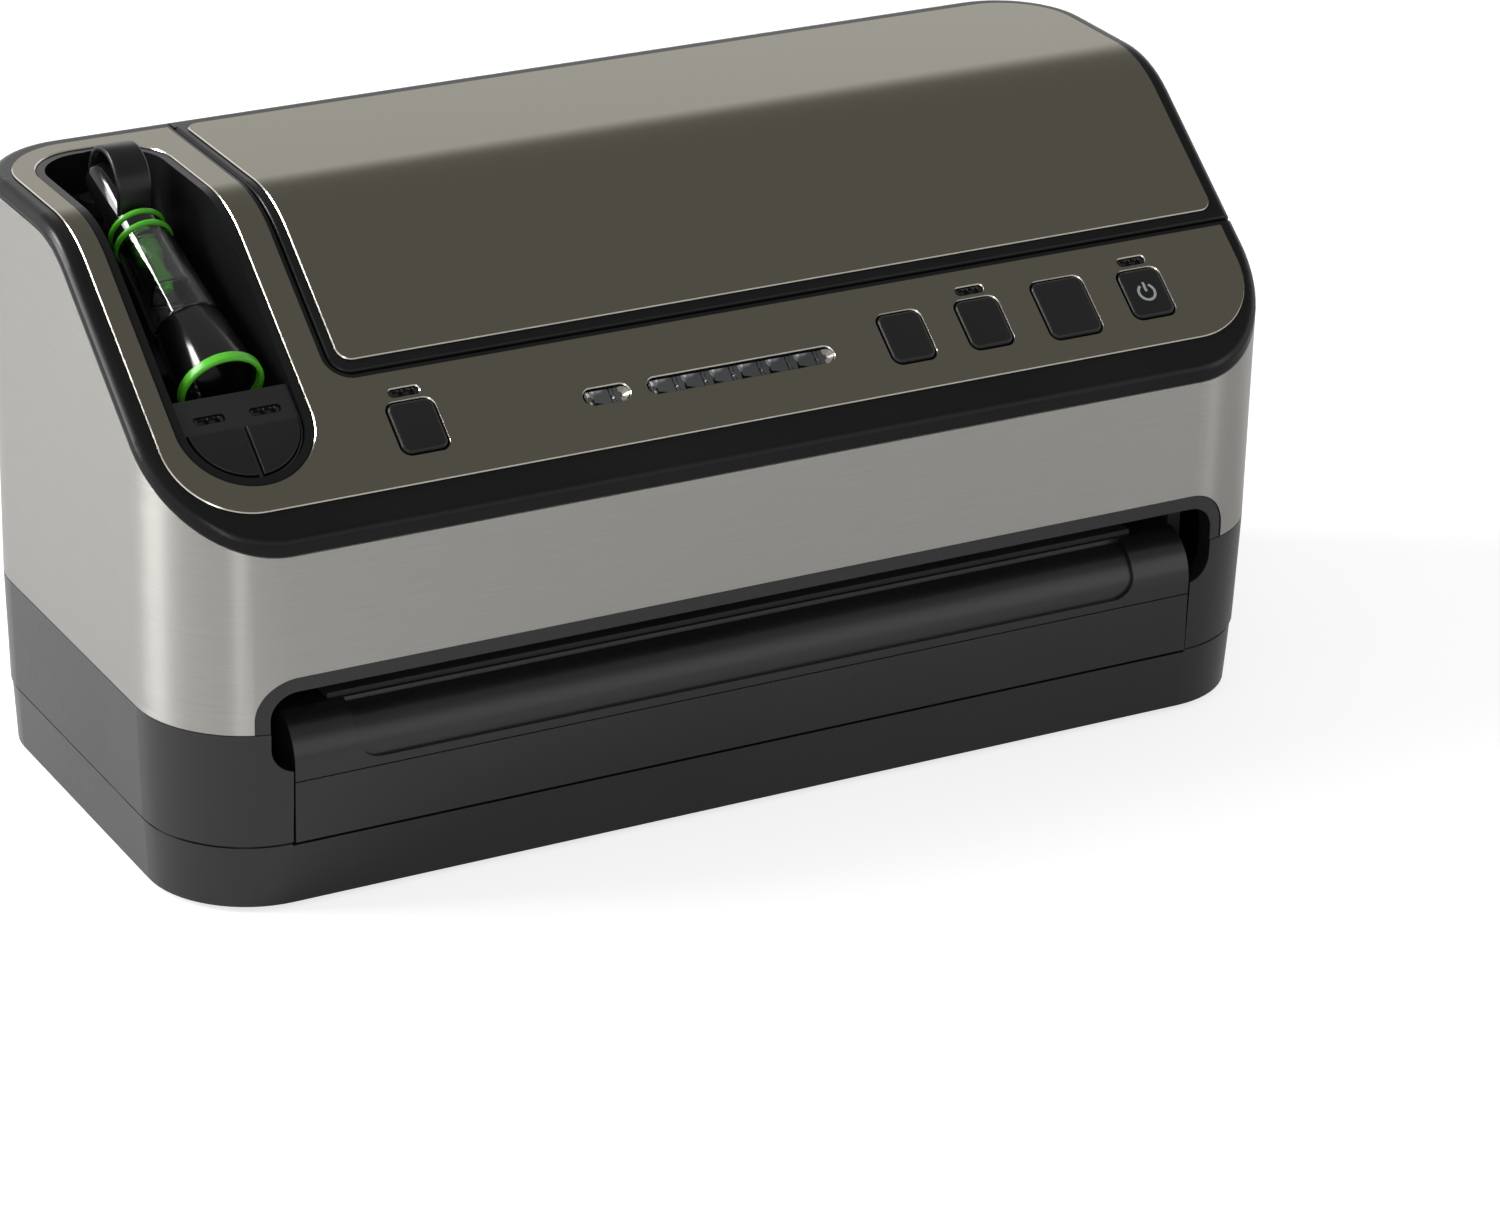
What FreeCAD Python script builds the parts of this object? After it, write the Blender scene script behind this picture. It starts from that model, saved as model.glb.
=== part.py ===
import FreeCAD, Part
import math
import os

# Countertop vacuum sealer: millimetres, +Z up, front towards -Y.
# The origin is under the middle of the body, on the surface the feet stand on.
# Places on the control slope are given as (x, t): t runs down the slope from the crest.

# Limits used when sorting edges and faces
TOUCHING = 1e-6
ON_SURFACE = 1e-4
UPRIGHT = 0.5
FULL_TURN = 360.0

# Body
WIDTH = 410.0
DEPTH = 177.0
HEIGHT = 205.0
SLOPE_ANGLE = 37.5
CREST_SETBACK = 97.6
BEND_RADIUS = 43.5
FRONT_CORNER = 38.0
BACK_CORNER = 32.0
REACH = WIDTH + DEPTH + HEIGHT
FRONT = -DEPTH / 2
BACK = DEPTH / 2
LEFT = -WIDTH / 2
RIGHT = WIDTH / 2
TILT = math.radians(SLOPE_ANGLE)
CREST = FreeCAD.Vector(0, FRONT + CREST_SETBACK, HEIGHT)

# Casing layers
SKIN = 0.7
DECK = 4.0
DECK_UNDER = SKIN + DECK
RIM_ROUND = 4.0
STEEL = 1.0
WALL = 2.5
SEAM = 0.4
FIT = 0.3
RUNNING = 0.05
LIP_WALL = 2.0
LIP_HEIGHT = 8.0

# Base
FOOT_HEIGHT = 2.0
FOOT_RADIUS = 9.0
FOOT_INSET = 34.0
PAN_TOP = 24.1
STEEL_BOTTOM = 64.0
PAN_DRAFT_BOTTOM = 3.0
PAN_DRAFT_TOP = 1.7
PAN_GROOVE = 0.7
BASE_DRAFT = 1.2
TRAY_FINGER_GAP = 1.3
BOSS_RADIUS = 5.0
SCREW_SHANK = 1.9
SCREW_HEAD = 3.5
SCREW_HEAD_HEIGHT = 1.8
COUNTERBORE_GAP = 0.3
CHASSIS_BOTTOM = 26.0
CHASSIS_PLATE = 2.5
CHASSIS_INSET = 12.0
CHASSIS_SETBACK = 82.5
CHASSIS_FRONT = FRONT + CHASSIS_SETBACK
CHASSIS_TOP = CHASSIS_BOTTOM + CHASSIS_PLATE
BOSS_SIDE = 55.0
BOSS_FRONT = 16.0
BOSS_BACK = 22.5
BOSS_MIDDLE_BACK = 14.5
BOSS_SPOTS = [
    (LEFT + BOSS_SIDE, CHASSIS_FRONT + BOSS_FRONT),
    (LEFT + BOSS_SIDE, BACK - BOSS_BACK),
    (0.0, BACK - BOSS_MIDDLE_BACK),
    (RIGHT - BOSS_SIDE, CHASSIS_FRONT + BOSS_FRONT),
    (RIGHT - BOSS_SIDE, BACK - BOSS_BACK),
]

# Bag slot in the front
SLOT_SIDE = 30.0
SLOT_HALF = RIGHT - SLOT_SIDE
SLOT_BOTTOM = 49.5
SLOT_TOP = 77.2
SLOT_ROUND = 9.0
FRAME_BORDER = 5.0
FRAME_SETBACK = 0.4
FRAME_PLATE = 3.0
TUNNEL_WALL = 2.0
TUNNEL_DEPTH = 8.0

# Drip tray and its lip
TRAY_SIDE = 8.0
TRAY_HALF = SLOT_HALF - TRAY_SIDE
TRAY_SIDE_GAP = 0.6
TRAY_BOTTOM = 26.0
TRAY_FRONT_SETBACK = 0.6
TRAY_PANEL = 3.0
TRAY_SEAM = 45.5
TRAY_PANEL_BOTTOM = 24.3
LIP_TOP = 66.0
LIP_NOSE = 50.5
LIP_FLAT = 12.0
LIP_BACK = 23.0
LIP_SHELL = 2.5
RAMP_SIDE = 22.0
RAMP_HALF = TRAY_HALF - RAMP_SIDE
RAMP_DEPTH = 1.2
RAMP_ROUND = 8.0
RAMP_FOOT = 48.6
BASIN_FRONT = 24.0
BASIN_BACK = 63.0
BASIN_SIDE = 9.0
BASIN_HALF = TRAY_HALF - BASIN_SIDE
BASIN_WALL = 2.2
BASIN_ROUND = 12.0
LOWER_SEAL_HEIGHT = 2.0
SEAL_WIDTH = 4.5
STRIP_FRONT = 13.5
STRIP_BACK = 20.5
STRIP_SIDE = 17.0
STRIP_HALF = TRAY_HALF - STRIP_SIDE
STRIP_HEIGHT = 1.7
LOWER_SEAL_TOP = LIP_TOP + LOWER_SEAL_HEIGHT

# Upper jaw and its drive
JAW_SIDE = 7.0
JAW_HALF = TRAY_HALF - JAW_SIDE
JAW_FRONT = 12.0
JAW_BACK = 64.0
JAW_BOTTOM = 80.0
JAW_TOP = 95.0
JAW_TRAVEL = 7.5
JAW_CLOSED_GAP = 0.5
JAW_POCKET = 8.0
JAW_WALL = 3.0
SCREW_RADIUS = 4.0
NUT_RADIUS = 8.0
NUT_FLANGE = 11.0
NUT_FLANGE_HEIGHT = 3.0
GUIDE_RADIUS = 4.0
GUIDE_SIDE = 28.0
GUIDE_SPREAD = JAW_HALF - GUIDE_SIDE
DRIVE_SETBACK = 44.0
DRIVE_Y = FRONT + DRIVE_SETBACK
CROSSHEAD_BOTTOM = 100.0
CROSSHEAD_HEIGHT = 5.0
CROSSHEAD_DEPTH = 30.0
BUSH_RADIUS = 7.0
CLAMP_MOTOR_RADIUS = 13.0
CLAMP_MOTOR_DROP = 71.0
BRACKET_GAP = 3.0
BRACKET_INNER = TRAY_HALF + BRACKET_GAP
BRACKET_PLATE = 5.0
BRACKET_FRONT = 20.0
BRACKET_BACK = 68.0
LEDGE_REACH = 16.0
LEDGE_HEIGHT = 3.0
LEDGE_GAP = 0.4
UPPER_SEAL_BOTTOM = LOWER_SEAL_TOP + JAW_TRAVEL + JAW_CLOSED_GAP
HEATER_BOTTOM = LIP_TOP + STRIP_HEIGHT + JAW_TRAVEL + JAW_CLOSED_GAP

# Lid and hinge
LID_SPLIT_SIDE = 72.0
LID_SPLIT_X = LEFT + LID_SPLIT_SIDE
LID_SPLIT_T = 69.0
LID_GAP = 0.9
LID_CORNER = 7.0
HINGE_RADIUS = 8.0
HINGE_SWEEP_GAP = 0.6
HINGE_SWEEP = (HINGE_RADIUS - RIM_ROUND) * math.sqrt(2) + RIM_ROUND + HINGE_SWEEP_GAP
HINGE_Y = BACK - HINGE_RADIUS
HINGE_Z = HEIGHT - SKIN - HINGE_RADIUS
KNUCKLE_RADIUS = 4.0
KNUCKLE_WIDTH = 15.0
KNUCKLE_SIDE_GAP = 0.5
KNUCKLE_LEG_FRONT = 4.0
KNUCKLE_LEG_BACK = 1.5
KNUCKLE_LEG_DROP = 24.0
KNUCKLE_FOOT_HEIGHT = 8.0
KNUCKLE_LEFT = 41.0
KNUCKLE_RIGHT = 73.0
KNUCKLE_SPOTS = [LID_SPLIT_X + KNUCKLE_LEFT, RIGHT - KNUCKLE_RIGHT]
HINGE_PIN = 2.0
HINGE_PIN_LENGTH = 44.0
BARREL_WALL = 2.0
BARREL_END_BLOCK = 16.0
LID_SKIRT_INSET = 2.4
LID_SKIRT = 2.0
LID_SKIRT_DEPTH = 7.0
LID_EDGE_ROUND = 1.6

# Bronze skins
SKIN_SIDE = 6.4
SKIN_BACK = 8.3
SKIN_FRONT_T = 112.5
SKIN_FRONT_ROUND = 27.0
SKIN_LID_MARGIN_X = 3.2
SKIN_LID_MARGIN_T = 4.2
SKIN_LID_ROUND = 5.0
SKIN_FIXED_MARGIN = 1.4
SKIN_CHAMFER = 0.3

# Buttons and lenses on the slope, placed from the left or right side
BUTTON_ROW_T = 92.4
BUTTON_WIDTH = 16.0
BUTTON_LENGTH = 18.6
SEAL_BUTTON_WIDTH = 19.6
SEAL_BUTTON_LENGTH = 22.2
BUTTON_ROUND = 3.0
BUTTON_PROUD = 0.7
BUTTON_EDGE = 0.8
BUTTON_STEM = 8.0
BUTTON_GAP = 0.5
BUTTON_TRAVEL = 1.2
VACUUM_SIDE = 92.0
CANCEL_SIDE = 139.9
FOOD_SIDE = 110.1
SEAL_SIDE = 78.0
POWER_SIDE = 46.5
VACUUM_X = LEFT + VACUUM_SIDE
CANCEL_X = RIGHT - CANCEL_SIDE
FOOD_X = RIGHT - FOOD_SIDE
SEAL_X = RIGHT - SEAL_SIDE
POWER_X = RIGHT - POWER_SIDE
FASCIA_BUTTONS = [
    ("vacuum_button", VACUUM_X, BUTTON_WIDTH, BUTTON_LENGTH),
    ("cancel_button", CANCEL_X, BUTTON_WIDTH, BUTTON_LENGTH),
    ("food_button", FOOD_X, BUTTON_WIDTH, BUTTON_LENGTH),
    ("seal_button", SEAL_X, SEAL_BUTTON_WIDTH, SEAL_BUTTON_LENGTH),
    ("power_button", POWER_X, BUTTON_WIDTH, BUTTON_LENGTH),
]
INDICATOR_T = 79.3
INDICATOR_LENGTH = 10.0
INDICATOR_WIDTH = 2.4
INDICATOR_SPOTS = [VACUUM_X, FOOD_X, POWER_X]
LENS_PROUD = 0.3
LENS_GAP = 0.3
CLEAN_LENS_SIDE = 251.4
CLEAN_LENS_X = RIGHT - CLEAN_LENS_SIDE
CLEAN_LENS_LENGTH = 16.0
PROGRESS_LENS_SIDE = 202.2
PROGRESS_LENS_X = RIGHT - PROGRESS_LENS_SIDE
PROGRESS_LENS_LENGTH = 68.0
LENS_WIDTH = 5.6
LENS_T = 93.4
LENS_CELL_COUNT = 6
LENS_RIB = 0.8
LENS_CELL_DEPTH = 0.7

# Control board under the slope
BOARD_DROP = 12.0
BOARD_THICK = 1.6
BOARD_LEFT = 79.0
BOARD_RIGHT = 33.0
BOARD_X = (LEFT + BOARD_LEFT, RIGHT - BOARD_RIGHT)
BOARD_T = (77.0, 108.0)
SWITCH_SIZE = 6.0
SWITCH_GAP = 0.5
POST_RADIUS = 2.5
POST_T = 105.6
POST_LEFT = 120.0
POST_RIGHT = 215.0
POST_SPOTS = [LEFT + POST_LEFT, RIGHT - POST_RIGHT, (CANCEL_X + FOOD_X) / 2, (SEAL_X + POWER_X) / 2]

# Accessory bay on the left
BAY_SIDE = 13.5
BAY_WIDTH = 46.0
BAY_X = (LEFT + BAY_SIDE, LEFT + BAY_SIDE + BAY_WIDTH)
BAY_MIDDLE = LEFT + BAY_SIDE + BAY_WIDTH / 2
BAY_FRONT_T = 103.0
BAY_BACK_INSET = 15.5
BAY_BACK = BACK - BAY_BACK_INSET
BAY_BACK_ROUND = 20.0
BAY_LIP = 3.0
BAY_LIP_DROP = 0.5
BAY_FLOOR = 2.5
PANEL_T = 68.1
PANEL_DROP = 2.2
PANEL_PLATE = 3.0
PANEL_WALL = 2.0
BAY_BUTTON_T = 81.0
BAY_BUTTON_MARGIN = 1.0
BAY_BUTTON_GAP = 0.4
BAY_BUTTON_PROUD = 1.2
BAY_BUTTON_STEM = 7.0
BAY_BUTTON_SPLIT = 2.0
BAY_INDICATOR_T = 76.0
BAY_INDICATOR_OFFSET = 9.5

# Handheld sealer lying in the bay
HAND_OFFSET = 1.5
HAND_SETBACK = 53.1
HAND_DROP = 45.6
HAND_TILT = 24.3
HAND_TAIL = 40.1
HAND_X = BAY_MIDDLE + HAND_OFFSET
HAND_Y = FRONT + HAND_SETBACK
HAND_Z = HEIGHT - HAND_DROP
HAND_RISE = math.radians(HAND_TILT)
HAND_LENGTH = (BAY_BACK - HAND_TAIL - HAND_Y) / math.cos(HAND_RISE)
NOZZLE_LENGTH = 27.5
MOUTH_RADIUS = 13.4
NECK_RADIUS = 8.7
RING_PROUD = 0.9
MOUTH_RING_WIDTH = 3.6
MOUTH_RING_WALL = 1.8
NECK_RING_WIDTH = 2.0
NECK_RING_PITCH = 5.7
CUP_WALL = 1.5
HAND_REST_GAP = 0.6
HANDLE_NECK_LENGTH = 28.0
HANDLE_NECK_RADIUS = 7.6
LOOP_WIDTH = 12.0
LOOP_BAND = 2.4
LOOP_RISE = 19.3
LOOP_RADIUS = 13.0
LOOP_SETBACK = 13.4
VALVE_RADIUS = 4.6
VALVE_LENGTH = 22.0

# Roll bay and cutter under the lid
ROLL_WALL = 2.2
ROLL_RUN = 25.1
ROLL_HINGE_GAP = 4.04
ROLL_DROP = 56.0
ROLL_LEFT = 12.0
ROLL_RIGHT = 17.0
ROLL_FRONT = CREST.y - ROLL_RUN
ROLL_BACK = HINGE_Y - HINGE_SWEEP - ROLL_HINGE_GAP - ROLL_WALL
ROLL_RADIUS = (ROLL_BACK - ROLL_FRONT) / 2
ROLL_Y = (ROLL_BACK + ROLL_FRONT) / 2
ROLL_Z = HEIGHT - ROLL_DROP
ROLL_X = (LID_SPLIT_X + ROLL_LEFT, RIGHT - ROLL_RIGHT)
SHELF_T = 66.0
SHELF_DROP = 17.5
FLANGE = 2.0
FLANGE_GAP = 0.3
FLANGE_REACH = 7.0
ROLL_LEG = 3.0
ROLL_LEG_GAP = 4.5
ROLL_LEG_RIGHT = 10.0
RAIL_T = 55.0
RAIL_WIDTH = 12.0
RAIL_HEIGHT = 4.5
RAIL_GROOVE = 1.6
RAIL_END_GAP = 3.0
SLIDER_LENGTH = 34.0
SLIDER_HEIGHT = 6.0
SLIDER_WALL = 1.6
SLIDER_GAP = 0.4
BLADE = 0.5
BLADE_REACH = 2.5
BLADE_LENGTH = 16.0

# Pump, boards and hoses on the chassis
PUMP_X = (-36.0, 18.0)
PUMP_FRONT = 20.0
PUMP_BACK = 18.5
PUMP_Y = (CHASSIS_FRONT + PUMP_FRONT, BACK - PUMP_BACK)
PUMP_HEIGHT = 52.0
ROLL_LEG_SPOTS = [PUMP_X[1] + ROLL_LEG_GAP + ROLL_LEG / 2, ROLL_X[1] - ROLL_LEG_RIGHT]
PUMP_ROUND = 6.0
MOTOR_RADIUS = 20.0
MOTOR_LENGTH = 62.0
MOTOR_LIFT = 24.0
ROTOR_SHAFT = 2.5
ROTOR_SHAFT_LENGTH = 26.0
ROTOR_GRIP = 12.0
FAN_RADIUS = 17.0
FAN_WIDTH = 9.0
FAN_HUB = 5.0
FAN_BLADES = 8
FAN_BLADE = 1.6
HOSE_RADIUS = 4.0
HOSE_BORE = 2.5
HOSE_BEND = 6.0
VACUUM_HOSE_SIDE = 11.0
VACUUM_HOSE_GAP = 2.5
VACUUM_HOSE_X = PUMP_X[0] + VACUUM_HOSE_SIDE
VACUUM_HOSE_Y = FRONT + JAW_BACK + VACUUM_HOSE_GAP + HOSE_RADIUS
VACUUM_HOSE_LIFT = 40.0
VACUUM_HOSE_TOP = 7.5
ACCESSORY_HOSE_BACK = 8.5
ACCESSORY_HOSE_Y = BAY_BACK - ACCESSORY_HOSE_BACK
MOTOR_HOSE_GAP = 2.5
MOTOR_Y = ACCESSORY_HOSE_Y - HOSE_RADIUS - MOTOR_HOSE_GAP - MOTOR_RADIUS
ACCESSORY_HOSE_LIFT = 22.0
GLAND_RADIUS = 6.0
GLAND_PROUD = 2.5
GLAND_TAIL = 8.0
POWER_BOARD_LEFT = 12.0
POWER_BOARD_RIGHT = 37.0
POWER_BOARD_FRONT = 8.0
POWER_BOARD_BACK = 22.5
POWER_BOARD_X = (PUMP_X[1] + POWER_BOARD_LEFT, RIGHT - POWER_BOARD_RIGHT)
POWER_BOARD_Y = (CHASSIS_FRONT + POWER_BOARD_FRONT, BACK - POWER_BOARD_BACK)
STANDOFF = 7.0
STANDOFF_RADIUS = 3.0

# Back
REAR_SIDE = 39.0
REAR_HALF = RIGHT - REAR_SIDE
REAR_OVERLAP = 8.0
REAR_PLATE = 3.0
VENT_ROWS = 2
VENT_COUNT = 14
VENT_PITCH = 9.0
VENT_WIDTH = 3.0
VENT_HEIGHT = 24.0
VENT_ROW_PITCH = 32.0
VENT_SIDE = 135.0
VENT_X = RIGHT - VENT_SIDE
VENT_Z = 92.0
CORD_SIDE = 65.0
CORD_X = LEFT + CORD_SIDE
CORD_Z = 84.0
CORD_BORE = 3.6
CORD_BUSH = 7.0
CORD_FLANGE = 9.5
CORD_FLANGE_THICK = 2.0
CORD_LENGTH = 14.0
CORD_SETBACK = 0.3


def vec(x, y, z):
    return FreeCAD.Vector(x, y, z)


def block(x, y, z):
    """Box between pairs of limits along X, Y and Z."""
    return Part.makeBox(x[1] - x[0], y[1] - y[0], z[1] - z[0], vec(x[0], y[0], z[0]))


def rod(radius, start, end):
    """Cylinder from one point to another."""
    along = end - start
    return Part.makeCylinder(radius, along.Length, start, along)


def tube(outer, inner, start, end):
    return rod(outer, start, end).cut(rod(inner, start, end))


def outline(corners, radii, z=0.0):
    """Closed outline through (x, y) corners, each rounded by its own radius."""
    count = len(corners)
    points = [vec(x, y, z) for x, y in corners]
    edges = []
    starts = []
    ends = []
    for i in range(count):
        corner = points[i]
        back = (points[i - 1] - corner).normalize()
        ahead = (points[(i + 1) % count] - corner).normalize()
        half = back.getAngle(ahead) / 2
        reach = radii[i] / math.tan(half)
        starts.append(corner + back * reach)
        ends.append(corner + ahead * reach)
        if radii[i] > 0:
            inward = (back + ahead).normalize()
            middle = corner + inward * (radii[i] / math.sin(half) - radii[i])
            edges.append(Part.Arc(starts[i], middle, ends[i]).toShape())
        else:
            edges.append(None)
    ring = []
    for i in range(count):
        if edges[i] is not None:
            ring.append(edges[i])
        following = starts[(i + 1) % count]
        if ends[i].distanceToPoint(following) > TOUCHING:
            ring.append(Part.makeLine(ends[i], following))
    return Part.Wire(ring)


def prism(corners, radii, bottom, top):
    return Part.Face(outline(corners, radii, bottom)).extrude(vec(0, 0, top - bottom))


def front_prism(corners, radii, near, far):
    """Outline of (x, z) corners run along +Y between two depths behind the front."""
    shape = Part.Face(outline(corners, radii)).extrude(vec(0, 0, far - near))
    shape.Placement = FreeCAD.Placement(
        vec(0, FRONT + far, 0), FreeCAD.Rotation(vec(1, 0, 0), 90)
    )
    return shape


def on_slope(shape):
    """Lays a shape drawn as (x, -t, height) on the plane of the control slope."""
    placed = shape.copy()
    placed.Placement = FreeCAD.Placement(CREST, FreeCAD.Rotation(vec(1, 0, 0), SLOPE_ANGLE))
    return placed


def slope_prism(corners, radii, low, high):
    return on_slope(prism([(x, -t) for x, t in corners], radii, low, high))


def slope_block(x, t, height):
    return on_slope(block(x, (-t[1], -t[0]), height))


def slope_pad(x, t, width, length, radius, low, high):
    """Rounded rectangle standing on the slope."""
    left = x - width / 2
    right = x + width / 2
    upper = t - length / 2
    lower = t + length / 2
    corners = [(left, upper), (right, upper), (right, lower), (left, lower)]
    return slope_prism(corners, [radius] * 4, low, high)


def plan_corners(inset):
    return [
        (LEFT + inset, FRONT + inset),
        (RIGHT - inset, FRONT + inset),
        (RIGHT - inset, BACK - inset),
        (LEFT + inset, BACK - inset),
    ]


def plan_radii(inset):
    front = FRONT_CORNER - inset
    back = BACK_CORNER - inset
    return [front, front, back, back]


def plan(inset, bottom, top):
    return prism(plan_corners(inset), plan_radii(inset), bottom, top)


def drafted(low_inset, high_inset, bottom, top):
    """Body outline that draws in from one inset to another."""
    low = outline(plan_corners(low_inset), plan_radii(low_inset), bottom)
    high = outline(plan_corners(high_inset), plan_radii(high_inset), top)
    return Part.makeLoft([low, high], True, True)


def under_top(drop):
    """Everything below the top surface lowered by drop, measured square to it."""
    middle_y = CREST.y + BEND_RADIUS * math.tan(TILT / 2)
    middle_z = HEIGHT - BEND_RADIUS
    radius = BEND_RADIUS - drop

    def on_bend(angle):
        return vec(-REACH, middle_y - radius * math.sin(angle), middle_z + radius * math.cos(angle))

    slope_end = on_bend(TILT)
    flat_start = on_bend(0)
    foot = slope_end - vec(0, math.cos(TILT), math.sin(TILT)) * DEPTH
    corner_back = vec(-REACH, BACK + DEPTH, flat_start.z)
    ring = [
        Part.makeLine(foot, slope_end),
        Part.Arc(slope_end, on_bend(TILT / 2), flat_start).toShape(),
        Part.makeLine(flat_start, corner_back),
        Part.makeLine(corner_back, vec(-REACH, corner_back.y, -REACH)),
        Part.makeLine(vec(-REACH, corner_back.y, -REACH), vec(-REACH, foot.y, -REACH)),
        Part.makeLine(vec(-REACH, foot.y, -REACH), foot),
    ]
    return Part.Face(Part.Wire(ring)).extrude(vec(2 * REACH, 0, 0))


def layer(high_drop, low_drop):
    return under_top(high_drop).cut(under_top(low_drop))


def top_edges(shape):
    """Edges round the outside of a shape's upward faces."""
    seen = {}
    for face in shape.Faces:
        u0, u1, v0, v1 = face.ParameterRange
        normal = face.normalAt((u0 + u1) / 2, (v0 + v1) / 2)
        if normal.z > UPRIGHT:
            for edge in face.Edges:
                seen.setdefault(edge.hashCode(), []).append(edge)
    return [group[0] for group in seen.values() if len(group) == 1]


def lid_zone(gap):
    """The space over the lid's footprint, drawn out by gap past the split line."""
    x = LID_SPLIT_X - gap
    t = LID_SPLIT_T + gap
    corners = [(x, t), (REACH, t), (REACH, -REACH), (x, -REACH)]
    return slope_prism(corners, [LID_CORNER + gap, 0, 0, 0], -REACH, REACH)


def hinge_sweep():
    """Room behind and below the lid's back edge while it swings."""
    return rod(HINGE_SWEEP, vec(LID_SPLIT_X - LID_GAP, HINGE_Y, HINGE_Z), vec(RIGHT, HINGE_Y, HINGE_Z))


def bay_zone(grow):
    """The bay's opening: a half round front end on the slope, a rounded back end on the flat."""
    x0 = BAY_X[0] - grow
    x1 = BAY_X[1] + grow
    t = BAY_FRONT_T + grow
    end = (x1 - x0) / 2
    front = slope_prism([(x0, t), (x1, t), (x1, -REACH), (x0, -REACH)], [end, end, 0, 0], -REACH, REACH)
    back = BAY_BACK + grow
    round_back = BAY_BACK_ROUND + grow
    rear = prism(
        [(x0, -REACH), (x1, -REACH), (x1, back), (x0, back)], [0, 0, round_back, round_back], 0, 2 * HEIGHT
    )
    return front.common(rear)


def hand_axis(distance):
    """Point on the handheld's axis, measured up from its mouth."""
    return vec(HAND_X, HAND_Y + distance * math.cos(HAND_RISE), HAND_Z + distance * math.sin(HAND_RISE))


def over_bay_floor(depth):
    """Everything above the bay's sloping floor, lowered by depth."""
    under = MOUTH_RADIUS + RING_PROUD + HAND_REST_GAP + depth
    floor = block((-REACH, REACH), (-REACH, REACH), (-under, REACH))
    floor.Placement = FreeCAD.Placement(hand_axis(0), FreeCAD.Rotation(vec(1, 0, 0), HAND_TILT))
    return floor


def hand_cone(start, end, start_radius, end_radius):
    first = hand_axis(start)
    along = hand_axis(end) - first
    if abs(start_radius - end_radius) < TOUCHING:
        return Part.makeCylinder(start_radius, along.Length, first, along)
    return Part.makeCone(start_radius, end_radius, along.Length, first, along)


def hand_radius(distance):
    """Outer radius of the handheld at a distance from its mouth."""
    return MOUTH_RADIUS + (NECK_RADIUS - MOUTH_RADIUS) * distance / HAND_LENGTH


def hose(points, radius, bend):
    """Round tube along straight runs joined by tangent arcs."""
    edges = []
    start = points[0]
    for i in range(1, len(points) - 1):
        corner = points[i]
        back = (points[i - 1] - corner).normalize()
        ahead = (points[i + 1] - corner).normalize()
        half = back.getAngle(ahead) / 2
        reach = bend / math.tan(half)
        inward = (back + ahead).normalize()
        first = corner + back * reach
        last = corner + ahead * reach
        middle = corner + inward * (bend / math.sin(half) - bend)
        edges.append(Part.makeLine(start, first))
        edges.append(Part.Arc(first, middle, last).toShape())
        start = last
    edges.append(Part.makeLine(start, points[-1]))
    path = Part.Wire(edges)
    profile = Part.Wire(Part.makeCircle(radius, points[0], points[1] - points[0]))
    return path.makePipeShell([profile], True, False)


def hose_tube(points):
    return hose(points, HOSE_RADIUS, HOSE_BEND).cut(hose(points, HOSE_BORE, HOSE_BEND))


# Casing

def base_pan():
    outer = drafted(PAN_DRAFT_BOTTOM, PAN_DRAFT_TOP, FOOT_HEIGHT, PAN_TOP)
    floor = FOOT_HEIGHT + WALL
    inner = drafted(PAN_DRAFT_BOTTOM + WALL, PAN_DRAFT_TOP + WALL, floor, PAN_TOP)
    pan = outer.cut(inner)
    half = TRAY_HALF + TRAY_SIDE_GAP
    relief = (PAN_TOP - TRAY_FINGER_GAP, PAN_TOP)
    pan = pan.cut(block((-half, half), (FRONT, FRONT + BRACKET_FRONT), relief))
    groove = plan(0, PAN_TOP - PAN_GROOVE, PAN_TOP)
    groove = groove.cut(plan(PAN_DRAFT_TOP + PAN_GROOVE, PAN_TOP - PAN_GROOVE, PAN_TOP))
    pan = pan.cut(groove)
    for x, y in BOSS_SPOTS:
        pan = pan.fuse(rod(BOSS_RADIUS, vec(x, y, FOOT_HEIGHT), vec(x, y, CHASSIS_BOTTOM)))
    for x, y in BOSS_SPOTS:
        pan = pan.cut(rod(SCREW_SHANK + COUNTERBORE_GAP, vec(x, y, FOOT_HEIGHT), vec(x, y, CHASSIS_BOTTOM)))
        head_top = FOOT_HEIGHT + SCREW_HEAD_HEIGHT + COUNTERBORE_GAP
        pan = pan.cut(rod(SCREW_HEAD + COUNTERBORE_GAP, vec(x, y, FOOT_HEIGHT), vec(x, y, head_top)))
    return pan.removeSplitter()


def rubber_feet():
    feet = []
    for x in (LEFT + FOOT_INSET, RIGHT - FOOT_INSET):
        for y in (FRONT + FOOT_INSET, BACK - FOOT_INSET):
            foot = rod(FOOT_RADIUS, vec(x, y, 0), vec(x, y, FOOT_HEIGHT))
            feet.append(foot)
    return Part.makeCompound(feet)


def case_screws():
    screws = []
    head_bottom = FOOT_HEIGHT + COUNTERBORE_GAP
    head_top = head_bottom + SCREW_HEAD_HEIGHT
    for x, y in BOSS_SPOTS:
        head = rod(SCREW_HEAD, vec(x, y, head_bottom), vec(x, y, head_top))
        shank = rod(SCREW_SHANK, vec(x, y, head_top), vec(x, y, CHASSIS_BOTTOM))
        recess_top = head_bottom + SCREW_HEAD_HEIGHT / 2
        recess = rod(SCREW_SHANK / 2, vec(x, y, head_bottom), vec(x, y, recess_top))
        screws.append(head.fuse(shank).cut(recess).removeSplitter())
    return Part.makeCompound(screws)


def slot_prism(grow, near, far, bottom):
    half = SLOT_HALF + grow
    corners = [(-half, bottom), (half, bottom), (half, SLOT_TOP + grow), (-half, SLOT_TOP + grow)]
    radius = SLOT_ROUND + grow
    low = radius if bottom == SLOT_BOTTOM else 0
    return front_prism(corners, [low, low, radius, radius], near, far)


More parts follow.
